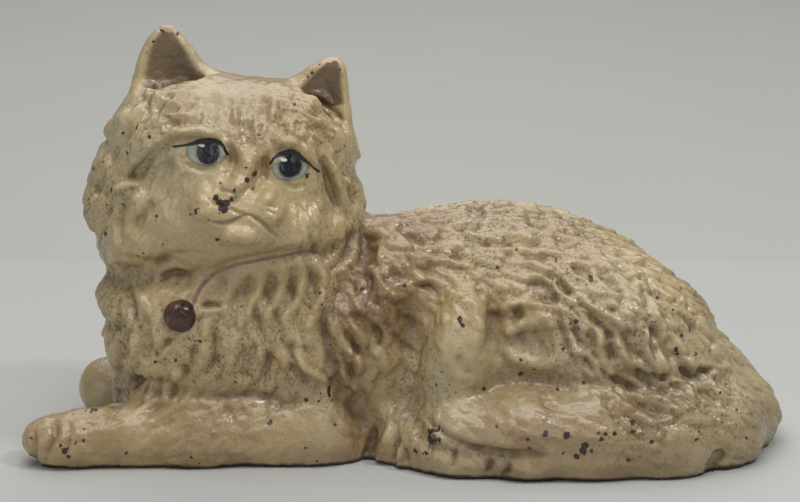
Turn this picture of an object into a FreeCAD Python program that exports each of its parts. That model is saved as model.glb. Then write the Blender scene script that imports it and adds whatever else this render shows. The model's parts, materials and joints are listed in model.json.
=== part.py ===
"""Cast-iron still bank in the form of a long-haired cat lying down, its head turned to one side.

Two hollow castings meet on one upright parting plane, which runs the length of the animal. The
front casting holds the face, the chest, the near foreleg and the tail; the rear casting holds the
far foreleg, the back of the head and the coin slot. Cast dowels on the front rim line the halves
up, and two slotted machine screws pass through posts in the rear casting into posts in the front
one. Taking the screws out is how the bank is emptied.

Millimetres. +Z is up, +X runs from the paws to the tail and -Y is the side that the face looks to.
The form is laid out with the parting plane at y = 0, then moved so that the origin is under the
middle of its bounding box.
"""

import FreeCAD, Part
import math
import os
from FreeCAD import Matrix, Rotation, Vector

# Driving dimensions
WALL = 4.5
FLOOR_THICK = 4.5
BIG = 400.0  # larger than the whole figure, for half-spaces

# Coin slot, cut straight down through the back just behind the parting plane
SLOT_LENGTH = 38.0
SLOT_WIDTH = 5.0
SLOT_X = 33.0
SLOT_Y = 15.0
SLOT_LOW_Z = 60.0

# Machine screws with round slotted heads: 1/4 inch shank
SHANK_R = 3.175
HEAD_R = 5.8
HEAD_HIGH = 4.2
DRIVE_WIDE = 1.4
DRIVE_DEEP = 2.0
DRIVE_TURN = 35.0
TAPPED_R = SHANK_R + 0.07
CLEAR_R = SHANK_R + 0.45
COUNTERBORE_R = HEAD_R + 1.2
POST_R = 8.5
REAR_POST_R = 10.0
TIP_Y = -22.0
TAPPED_DEPTH = 26.0
TIP_CHAMFER = 0.8
# name: (x, z of the axis, y of the seat under the head)
SCREWS = {"chest_screw": (-62.0, 48.0, 29.0), "rump_screw": (64.0, 36.0, 34.0)}

# Cast dowels on the front rim and their sockets in the rear one: (x, z)
DOWELS = [(4.0, 75.0), (108.0, 38.0), (-98.0, 30.0), (-58.0, 122.0)]
DOWEL_R = 2.4
DOWEL_LONG = 5.0
DOWEL_TAPER = 0.8
SOCKET_R = DOWEL_R + 0.25
SOCKET_DEPTH = DOWEL_LONG + 0.6
PAD_R = 5.5
PAD_DEPTH = 9.0

# Torso stations along x: (x, front y, rear y, bottom z, top z)
TORSO = [
    (-107.0, -17.0, 12.0, 6.0, 54.0),
    (-100.0, -31.0, 23.0, -8.0, 67.0),
    (-78.0, -42.0, 34.0, -10.0, 80.0),
    (-45.0, -46.0, 38.0, -10.0, 84.0),
    (-12.0, -43.0, 41.0, -10.0, 80.5),
    (18.0, -46.0, 43.0, -10.0, 84.0),
    (45.0, -51.0, 44.0, -10.0, 84.5),
    (75.0, -55.0, 43.0, -10.0, 73.0),
    (100.0, -55.0, 36.0, -10.0, 54.0),
    (120.0, -45.0, 25.0, -10.0, 37.0),
    (131.0, -31.0, 12.0, -8.0, 25.0),
]
RING_POINTS = 14

# Tail rings, from the rump round the end and along the front: (x, y, z, radius)
TAIL = [
    (108.0, 2.0, 13.0, 15.0),
    (121.0, -16.0, 12.5, 14.0),
    (115.0, -38.0, 12.0, 14.0),
    (94.0, -50.0, 12.0, 14.5),
    (66.0, -49.0, 13.0, 14.0),
    (38.0, -44.0, 13.0, 13.0),
    (16.0, -33.0, 12.0, 11.0),
]

# Ears: rings of a loft, each (x, y, z, half width, half thickness)
LEFT_EAR = [
    (-81.0, 0.0, 118.0, 16.0, 8.0),
    (-84.0, -1.0, 137.0, 9.5, 5.0),
    (-84.0, -2.0, 149.0, 3.0, 2.6),
]
RIGHT_EAR = [
    (-34.0, 0.0, 112.0, 15.0, 8.0),
    (-28.0, -1.0, 126.5, 8.5, 5.0),
    (-25.0, -2.0, 138.0, 2.6, 2.4),
]
# The hollow in the front of each ear: (centre, radii)
LEFT_EAR_HOLLOW = ((-84.0, -9.0, 136.0), (7.5, 7.5, 12.0))
RIGHT_EAR_HOLLOW = ((-29.0, -9.0, 126.0), (6.0, 7.0, 9.5))


def ellipsoid(centre, radii):
    """A closed ellipsoid with its axes along x, y and z."""
    stretch = Matrix()
    stretch.scale(*radii)
    body = Part.makeSphere(1.0).transformGeometry(stretch)
    body.translate(Vector(*centre))
    return body


def tapered_rod(start, end, start_r, end_r):
    """A rod with round ends of two radii, turned in one piece from its tangent outline."""
    a, b = Vector(*start), Vector(*end)
    long = a.distanceToPoint(b)
    tilt = math.asin((start_r - end_r) / long)
    sine, cosine = math.sin(tilt), math.cos(tilt)
    low = Vector(start_r * cosine, 0, start_r * sine)
    high = Vector(end_r * cosine, 0, long + end_r * sine)
    low_turn, high_turn = (tilt - math.pi / 2) / 2, (tilt + math.pi / 2) / 2
    low_mid = Vector(start_r * math.cos(low_turn), 0, start_r * math.sin(low_turn))
    high_mid = Vector(end_r * math.cos(high_turn), 0, long + end_r * math.sin(high_turn))
    bottom, top = Vector(0, 0, -start_r), Vector(0, 0, long + end_r)
    edges = [
        Part.Arc(bottom, low_mid, low).toShape(),
        Part.LineSegment(low, high).toShape(),
        Part.Arc(high, high_mid, top).toShape(),
        Part.LineSegment(top, bottom).toShape(),
    ]
    rod = Part.Face(Part.Wire(edges)).revolve(Vector(0, 0, 0), Vector(0, 0, 1), 360)
    rod.Placement = FreeCAD.Placement(a, Rotation(Vector(0, 0, 1), b - a))
    return rod


def torso(inset):
    """The trunk, lofted through closed rings; inset shrinks it evenly for the cavity."""
    rings = []
    for number, (x, front, rear, low, high) in enumerate(TORSO):
        if number == 0:
            x += inset
        if number == len(TORSO) - 1:
            x -= inset
        mid_y, mid_z = (front + rear) / 2, (low + high) / 2
        half_y, half_z = (rear - front) / 2 - inset, (high - low) / 2 - inset
        turns = [2 * math.pi * i / RING_POINTS for i in range(RING_POINTS)]
        points = [Vector(x, mid_y + half_y * math.cos(t), mid_z + half_z * math.sin(t)) for t in turns]
        curve = Part.BSplineCurve()
        curve.interpolate(points, PeriodicFlag=True)
        rings.append(Part.Wire(curve.toShape()))
    return Part.makeLoft(rings, True)


def tail(inset):
    """The tail, lofted through circles square to its curved path."""
    centres = [Vector(x, y, z) for x, y, z, _ in TAIL]
    rings = []
    for i, (centre, (_, _, _, radius)) in enumerate(zip(centres, TAIL)):
        before, after = centres[max(i - 1, 0)], centres[min(i + 1, len(TAIL) - 1)]
        rings.append(Part.Wire(Part.Circle(centre, after - before, radius - inset).toShape()))
    return Part.makeLoft(rings, True)


def ear(rings):
    """A pointed ear, lofted through flat ovals from the skull to the tip."""
    wires = []
    for x, y, z, half_wide, half_thick in rings:
        oval = Part.Ellipse(Vector(0, 0, 0), half_wide, half_thick)
        wire = Part.Wire(oval.toShape())
        wire.translate(Vector(x, y, z))
        wires.append(wire)
    return Part.makeLoft(wires, True)


def head(inset):
    """Skull, both cheek ruffs and the muzzle."""
    masses = [
        ((-63.0, -14.0, 98.0), (45.0, 38.0, 35.5)),
        ((-90.0, -7.0, 86.0), (24.5, 27.0, 27.0)),
        ((-37.0, -9.0, 85.0), (23.5, 27.0, 26.0)),
        ((-56.0, -42.0, 94.0), (21.0, 15.5, 15.0)),
    ]
    return [ellipsoid(centre, [r - inset for r in radii]) for centre, radii in masses]


def haunches(inset):
    """Thigh and knee on the near side, hip on the far side."""
    masses = [
        ((70.0, -20.0, 34.0), (50.0, 36.0, 33.0)),
        ((19.0, -35.0, 36.0), (15.0, 15.0, 27.0)),
        ((58.0, 14.0, 30.0), (46.0, 31.5, 36.0)),
    ]
    return [ellipsoid(centre, [r - inset for r in radii]) for centre, radii in masses]


def forelegs(inset):
    """Both forelegs lying on the ground; the far one ends in its paw, the near paw is an egg."""
    return [
        tapered_rod((-28.0, -35.0, 13.0), (-112.0, -41.0, 11.0), 15.5 - inset, 11.5 - inset),
        tapered_rod((-62.0, 18.0, 13.0), (-112.0, 16.0, 9.5), 13.0 - inset, 10.5 - inset),
        ellipsoid((-120.5, -42.0, 10.0), (14.5 - inset, 12.0 - inset, 10.5 - inset)),
    ]


def above(level):
    """Everything above a height."""
    return Part.makeBox(2 * BIG, 2 * BIG, BIG, Vector(-BIG, -BIG, level))


def solid_form():
    """The whole animal before it is hollowed, flat underneath."""
    masses = [tail(0.0), ear(LEFT_EAR), ear(RIGHT_EAR), *head(0.0), *haunches(0.0), *forelegs(0.0)]
    whole = torso(0.0).fuse(masses)
    for centre, radii in (LEFT_EAR_HOLLOW, RIGHT_EAR_HOLLOW):
        whole = whole.cut(ellipsoid(centre, radii))
    return whole.common(above(0.0))


def cavity_form():
    """The inside of the wall, as one solid. The ears and the paws stay solid iron."""
    masses = [tail(WALL), *head(WALL), *haunches(WALL), *forelegs(WALL)[:2]]
    return torso(WALL).fuse(masses).common(above(FLOOR_THICK))


def along_y(x, z, radius, start, end):
    """A round bar along y."""
    return Part.makeCylinder(radius, end - start, Vector(x, start, z), Vector(0, 1, 0))


def front_casting(form, shell):
    """The near half: shell, tapped screw posts and dowels."""
    half = Part.makeBox(2 * BIG, BIG, 2 * BIG, Vector(-BIG, -BIG, -BIG))
    added = [along_y(x, z, POST_R, -BIG / 2, 0.0) for x, z, _ in SCREWS.values()]
    added += [along_y(x, z, PAD_R, -PAD_DEPTH, 0.0) for x, z in DOWELS]
    inside = [bar.common(form) for bar in added]
    casting = shell.common(half).fuse(inside)
    casting = casting.cut([along_y(x, z, TAPPED_R, -TAPPED_DEPTH, 1.0) for x, z, _ in SCREWS.values()])
    dowels = []
    for x, z in DOWELS:
        straight = along_y(x, z, DOWEL_R, -DOWEL_LONG, DOWEL_LONG - DOWEL_TAPER)
        shoulder = Vector(x, DOWEL_LONG - DOWEL_TAPER, z)
        tip = Part.makeCone(DOWEL_R, DOWEL_R - DOWEL_TAPER, DOWEL_TAPER, shoulder, Vector(0, 1, 0))
        dowels += [straight, tip]
    return casting.fuse(dowels)


def rear_casting(form, shell):
    """The far half: shell, clearance screw posts, dowel sockets and the coin slot."""
    half = Part.makeBox(2 * BIG, BIG, 2 * BIG, Vector(-BIG, 0, -BIG))
    added = [along_y(x, z, REAR_POST_R, 0.0, BIG / 2) for x, z, _ in SCREWS.values()]
    added += [along_y(x, z, PAD_R, 0.0, PAD_DEPTH) for x, z in DOWELS]
    inside = [bar.common(form) for bar in added]
    holes = [along_y(x, z, CLEAR_R, -1.0, BIG / 2) for x, z, _ in SCREWS.values()]
    holes += [along_y(x, z, COUNTERBORE_R, seat, BIG / 2) for x, z, seat in SCREWS.values()]
    holes += [along_y(x, z, SOCKET_R, -1.0, SOCKET_DEPTH) for x, z in DOWELS]
    holes.append(coin_slot())
    return shell.common(half).fuse(inside).cut(holes)


def coin_slot():
    """The cutter for the slot, with rounded ends."""
    straight = SLOT_LENGTH - SLOT_WIDTH
    low = Vector(SLOT_X - straight / 2, SLOT_Y - SLOT_WIDTH / 2, SLOT_LOW_Z)
    bar = Part.makeBox(straight, SLOT_WIDTH, BIG / 4, low)
    ends = [
        Part.makeCylinder(SLOT_WIDTH / 2, BIG / 4, Vector(x, SLOT_Y, SLOT_LOW_Z))
        for x in (SLOT_X - straight / 2, SLOT_X + straight / 2)
    ]
    return bar.fuse(ends).removeSplitter()


def screw(x, z, seat):
    """A round-headed machine screw with a straight drive slot; its thread is drawn as a plain shank."""
    rise = HEAD_HIGH
    dome_r = (HEAD_R**2 + rise**2) / (2 * rise)
    lean = math.asin(HEAD_R / dome_r) / 2
    top = Vector(0, seat + rise, 0)
    rim = Vector(HEAD_R, seat, 0)
    on_dome = Vector(dome_r * math.sin(lean), seat + rise - dome_r * (1 - math.cos(lean)), 0)
    corners = [
        top,
        Vector(0, TIP_Y, 0),
        Vector(SHANK_R - TIP_CHAMFER, TIP_Y, 0),
        Vector(SHANK_R, TIP_Y + TIP_CHAMFER, 0),
        Vector(SHANK_R, seat, 0),
        rim,
    ]
    outline = [Part.LineSegment(a, b).toShape() for a, b in zip(corners, corners[1:])]
    outline.append(Part.Arc(rim, on_dome, top).toShape())
    turned = Part.Face(Part.Wire(outline)).revolve(Vector(0, 0, 0), Vector(0, 1, 0), 360)
    low = Vector(-2 * HEAD_R, seat + rise - DRIVE_DEEP, -DRIVE_WIDE / 2)
    drive = Part.makeBox(4 * HEAD_R, DRIVE_DEEP + 1.0, DRIVE_WIDE, low)
    drive.rotate(Vector(0, 0, 0), Vector(0, 1, 0), DRIVE_TURN)
    finished = turned.cut(drive)
    finished.translate(Vector(x, 0, z))
    return finished


def main():
    form = solid_form()
    shell = form.cut(cavity_form())
    parts = {
        "front_casting": front_casting(form, shell),
        "rear_casting": rear_casting(form, shell),
    }
    for name, (x, z, seat) in SCREWS.items():
        parts[name] = screw(x, z, seat)
    box = form.optimalBoundingBox(False, False)
    move = Vector(-box.Center.x, -box.Center.y, 0)
    os.makedirs("parts", exist_ok=True)
    print("form", round(box.XLength, 2), round(box.YLength, 2), round(box.ZLength, 2))
    for name, shape in parts.items():
        shape.translate(move)
        solids = Part.makeCompound(shape.Solids) if len(shape.Solids) > 1 else shape.Solids[0]
        print(name, len(shape.Solids), "solid", shape.isValid(), round(shape.Volume / 1000, 1), "cm3")
        solids.exportStep(f"parts/{name}.step")


main()
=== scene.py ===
import itertools
import json
import math

import bmesh
import bpy
import numpy as np
import openvdb
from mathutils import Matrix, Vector


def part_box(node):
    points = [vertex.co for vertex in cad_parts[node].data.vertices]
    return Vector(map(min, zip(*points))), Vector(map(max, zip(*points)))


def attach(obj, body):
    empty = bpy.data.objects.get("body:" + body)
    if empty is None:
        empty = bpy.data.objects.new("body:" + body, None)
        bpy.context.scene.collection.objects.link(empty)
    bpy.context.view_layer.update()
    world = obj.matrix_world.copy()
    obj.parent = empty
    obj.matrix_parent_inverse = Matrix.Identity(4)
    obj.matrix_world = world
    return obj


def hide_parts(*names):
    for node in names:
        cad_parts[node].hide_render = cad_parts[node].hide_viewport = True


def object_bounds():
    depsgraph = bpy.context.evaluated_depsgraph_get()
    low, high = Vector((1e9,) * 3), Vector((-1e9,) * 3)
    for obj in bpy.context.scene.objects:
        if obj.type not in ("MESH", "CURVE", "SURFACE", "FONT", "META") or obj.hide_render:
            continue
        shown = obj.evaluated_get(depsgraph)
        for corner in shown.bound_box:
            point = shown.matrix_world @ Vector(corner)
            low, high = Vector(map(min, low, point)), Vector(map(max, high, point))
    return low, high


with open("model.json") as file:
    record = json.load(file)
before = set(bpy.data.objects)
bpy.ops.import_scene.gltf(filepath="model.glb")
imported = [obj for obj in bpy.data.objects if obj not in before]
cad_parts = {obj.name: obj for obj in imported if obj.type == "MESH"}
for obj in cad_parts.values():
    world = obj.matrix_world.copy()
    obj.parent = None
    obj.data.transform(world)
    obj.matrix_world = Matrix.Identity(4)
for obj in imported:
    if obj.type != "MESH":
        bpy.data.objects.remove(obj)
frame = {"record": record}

bl_info = {
    "name": "Cast iron cat bank",
    "version": (1, 0, 0),
    "blender": (4, 5, 0),
    "location": "3D View > Sidebar > Cat Bank",
    "description": "Models a cast iron still bank in the shape of a long-haired cat lying down",
    "category": "Add Mesh",
}

# The modelling frame is in millimetres: X from the middle of the casting, Y from the parting
# plane where the two shells meet, with the face towards -Y, and Z up from the resting plane.
MM = 0.001
CAD_LOW, CAD_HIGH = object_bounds()
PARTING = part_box("rear_casting")[0].y
ORIGIN = np.array(((CAD_LOW.x + CAD_HIGH.x) / 2, PARTING, CAD_LOW.z))

FRONT, REAR = "front_casting", "rear_casting"
SCREWS = ("chest_screw", "rump_screw")
# Region of the face that is modelled twice as finely: middle x and z, reach in x and z, back y.
FACE = (-55.0, 103.0, 38.0, 22.0, -24.0)
OUTSIDE, INSIDE = 0, 1     # material slots of a casting: painted skin, bare iron

# ---------------------------------------------------------------------------------------------
# Driving tables of the figure, in modelling millimetres
# ---------------------------------------------------------------------------------------------

# Cross-sections of the trunk: x, front y, rear y, underside z, back z.
TRUNK = (
    (-101, -18, 12, 4, 54), (-95, -31, 23, -8, 64), (-78, -40, 34, -10, 76),
    (-45, -42, 38, -10, 80), (-12, -39, 41, -10, 76.5), (4, -41, 43, -10, 79),
    (22, -43, 44, -10, 82.5), (45, -47, 44, -10, 82.5), (60, -48, 44, -10, 78),
    (75, -49, 43, -10, 68), (90, -48, 40, -10, 56), (104, -46, 35, -10, 46.5),
    (118, -39, 26, -10, 36), (128, -30, 17, -10, 26), (135, -15, 6, -4, 14),
)

# Lumps: centre, half sizes, blend, then turns about X, Y and Z in degrees.
CHEST = (
    ((-66, -24, 44), (38, 25, 34), 10, (0, 0, 0)),
    ((-24, -19, 44), (30, 28, 36), 10, (0, 0, 0)),
    ((-2, -16, 56), (20, 25, 26), 10, (0, 0, 0)),
)
HEAD = (
    ((-61, -9, 100), (43.5, 38, 33), 8, (0, 6, 0)),
    ((-88.5, -9, 87), (25, 30, 28), 9, (0, 0, 0)),
    ((-38, -10, 84), (24, 30, 30), 9, (0, 0, 0)),
    ((-73, -14, 112), (28.5, 27, 20), 8, (0, 8, 0)),
    ((-43, -14, 106), (24, 28, 24), 8, (0, 8, 0)),
    ((-56, -30, 82.5), (33, 22, 17), 8, (0, 8, 0)),
)
MUZZLE = (
    ((-57, -42, 93), (16, 13.5, 11), 6, (0, 8, 0)),
    ((-64, -45, 92), (8.5, 9, 7), 4, (0, 8, 0)),
    ((-50, -45, 90), (8.5, 9, 7.5), 4, (0, 8, 0)),
    ((-56, -42, 82), (11, 9.5, 7), 4, (0, 8, 0)),
)
HAUNCH = (
    ((74, -18, 39.5), (46, 36, 31.5), 9, (0, 24, 0)),
    ((58, 14, 34), (46, 31, 40), 10, (0, 0, 0)),
    ((20, -39, 36), (14.5, 15.5, 27), 5, (0, 10, 0)),
)
PAWS = (
    ((-121, -43, 7.5), (13.6, 12.5, 9.4), 5, (0, 8, 0)),
    ((-111.5, 16, 9.6), (10, 11.5, 10.6), 5, (0, 0, 0)),
)
# Limbs: start, start radius, end, end radius, blend.
LIMBS = (
    ((-79, -10, 14), 24.5, (-82, -9, 55), 26, 9),
    ((-30, -36, 9), 16, (-70, -38.5, 9), 14, 8),
    ((-70, -38.5, 9), 14, (-112, -42.5, 7.5), 11.5, 7),
    ((-62, 18, 12), 14, (-106, 16, 9.4), 11, 7),
    ((-36, -30, 7), 13, (10, -32, 7), 13, 8),
)
TAIL = (
    ((6, -41, 6), 13), ((22, -48, 9), 15.5), ((45, -51, 11), 17), ((68, -50, 11), 17.5),
    ((92, -47, 10), 17.5), ((112, -37, 10), 16.5), ((123, -18, 10), 14.2), ((117, 3, 10), 14),
)
# Ear sections: centre x, y, z, half width, half depth; then the scooped hollow of each.
EARS = (
    ((-80, -3, 112, 18, 9), (-81.4, -4, 130, 14.8, 7), (-83, -4, 141, 10.2, 4.8),
     (-83.6, -4, 147, 6.0, 3.4), (-83.2, -4, 151, 2.0, 1.6)),
    ((-34, -4, 104, 17, 10), (-30.4, -4, 122, 12.6, 7), (-28.5, -4, 131.5, 9.8, 5),
     (-25.6, -4, 136.5, 5.9, 3.6), (-23.8, -4, 139.6, 1.6, 1.4)),
)
HOLLOWS = (
    ((-79.5, -12, 117, 7, 3.5), (-80.8, -12.6, 128, 11.8, 7.2), (-82.9, -10.2, 141, 7.6, 5),
     (-83.3, -8.3, 149, 1.2, 2.6)),
    ((-29.5, -12.5, 108, 6, 3.5), (-28.0, -13.0, 119, 9.4, 7.4), (-26.4, -10.4, 130, 7.0, 5),
     (-24.1, -8.4, 138, 1.0, 2.6)),
)

# Broad folds of the form on the face side: width, height, and the path as (x, z) points.
FOLDS = (
    (10, -3.8, ((-110, 61), (-103, 63), (-94, 66), (-84, 68), (-74, 68.5), (-67, 69.5))),
    (7, -3.4, ((-68, 68), (-62, 71), (-54, 74), (-44, 76.3), (-34, 77.3), (-25, 75.5), (-15, 80))),
    (13, 2.4, ((-104, 80), (-94, 77), (-82, 76))),
    (14, 2.2, ((-56, 84), (-44, 86), (-32, 87), (-22, 90))),
    (9, -3.6, ((-14, 84), (-13, 76), (-17, 66), (-21, 58))),
    (11, -2.2, ((-25, 54), (-26, 44), (-22, 32), (-16, 22), (-11, 12), (-12, 0))),
    (9, -2.4, ((-17, 26), (-12, 17), (-12, 8), (-12, 0))),
    (15, -1.7, ((7, 66), (3, 54), (1, 42), (2, 30), (6, 20))),
    (10, 1.6, ((20, 60), (18, 48), (16, 36))),
    (9, -1.9, ((30, 62), (32, 54), (33, 47), (36, 43))),
    (13, -2.2, ((38, 48.5), (46, 46), (55, 45))),
    (8, -1.2, ((38, 54), (43, 56.5), (46, 58))),
    (7, -1.9, ((47, 64), (50, 62), (53, 58))),
    (4, 1.5, ((35, 50), (42, 51.5), (49, 54), (54, 60))),
    (9, 0.8, ((34, 42), (42, 39), (52, 37.5), (62, 38))),
    (8, -2.0, ((72, 37), (84, 34), (98, 33), (112, 34))),
    (8, -2.6, ((-108, 24), (-100, 27), (-90, 28), (-80, 28), (-72, 27))),
    (8, -1.0, ((-72, 27), (-60, 26), (-46, 25), (-32, 24))),
    (10, 2.6, ((-8, 68), (-4, 56), (-5, 42), (-4, 28))),
    (14, 2.0, ((62, 66), (78, 58), (90, 48))),
    (6, -2.2, ((2, 22), (8, 14), (20, 10), (34, 9), (50, 9))),
    (8, 2.4, ((-79, 119), (-70, 121), (-62, 119))),
    (7, 2.0, ((-44, 115), (-36, 116), (-29, 109))),
    (7, -2.4, ((-60, 113), (-57, 107), (-58, 101))),
    (6, -2.0, ((-46, 111), (-48, 104), (-47, 98))),
    (7, 2.6, ((-53, 112), (-54, 106), (-58, 101), (-60, 98))),
    (8, 2.4, ((-70, 99), (-68, 95), (-66, 91))),
    (9, 3.0, ((-48, 99), (-45, 95), (-41, 91))),
    (8, 2.0, ((-62, 85), (-55, 85.5), (-49, 83))),
    (9, -3.0, ((-78, 110), (-84, 106), (-90, 101), (-95, 97))),
    (6, -2.2, ((-28, 106), (-25, 98), (-23, 90), (-22, 84))),
    (6, -1.8, ((-112, 95), (-107, 95.5), (-102, 97))),
    (6, -1.0, ((-108, 112), (-102, 108), (-97, 106))),
    (7, -1.5, ((-116, 76), (-110, 76), (-104, 78))),
    (9, 0.6, ((-116, 86), (-109, 86), (-102, 87))),
    (5, -2.2, ((-109, 45), (-104, 46), (-99, 48))),
    (8, 1.8, ((-111, 53), (-106, 54), (-100, 55))),
)

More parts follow.
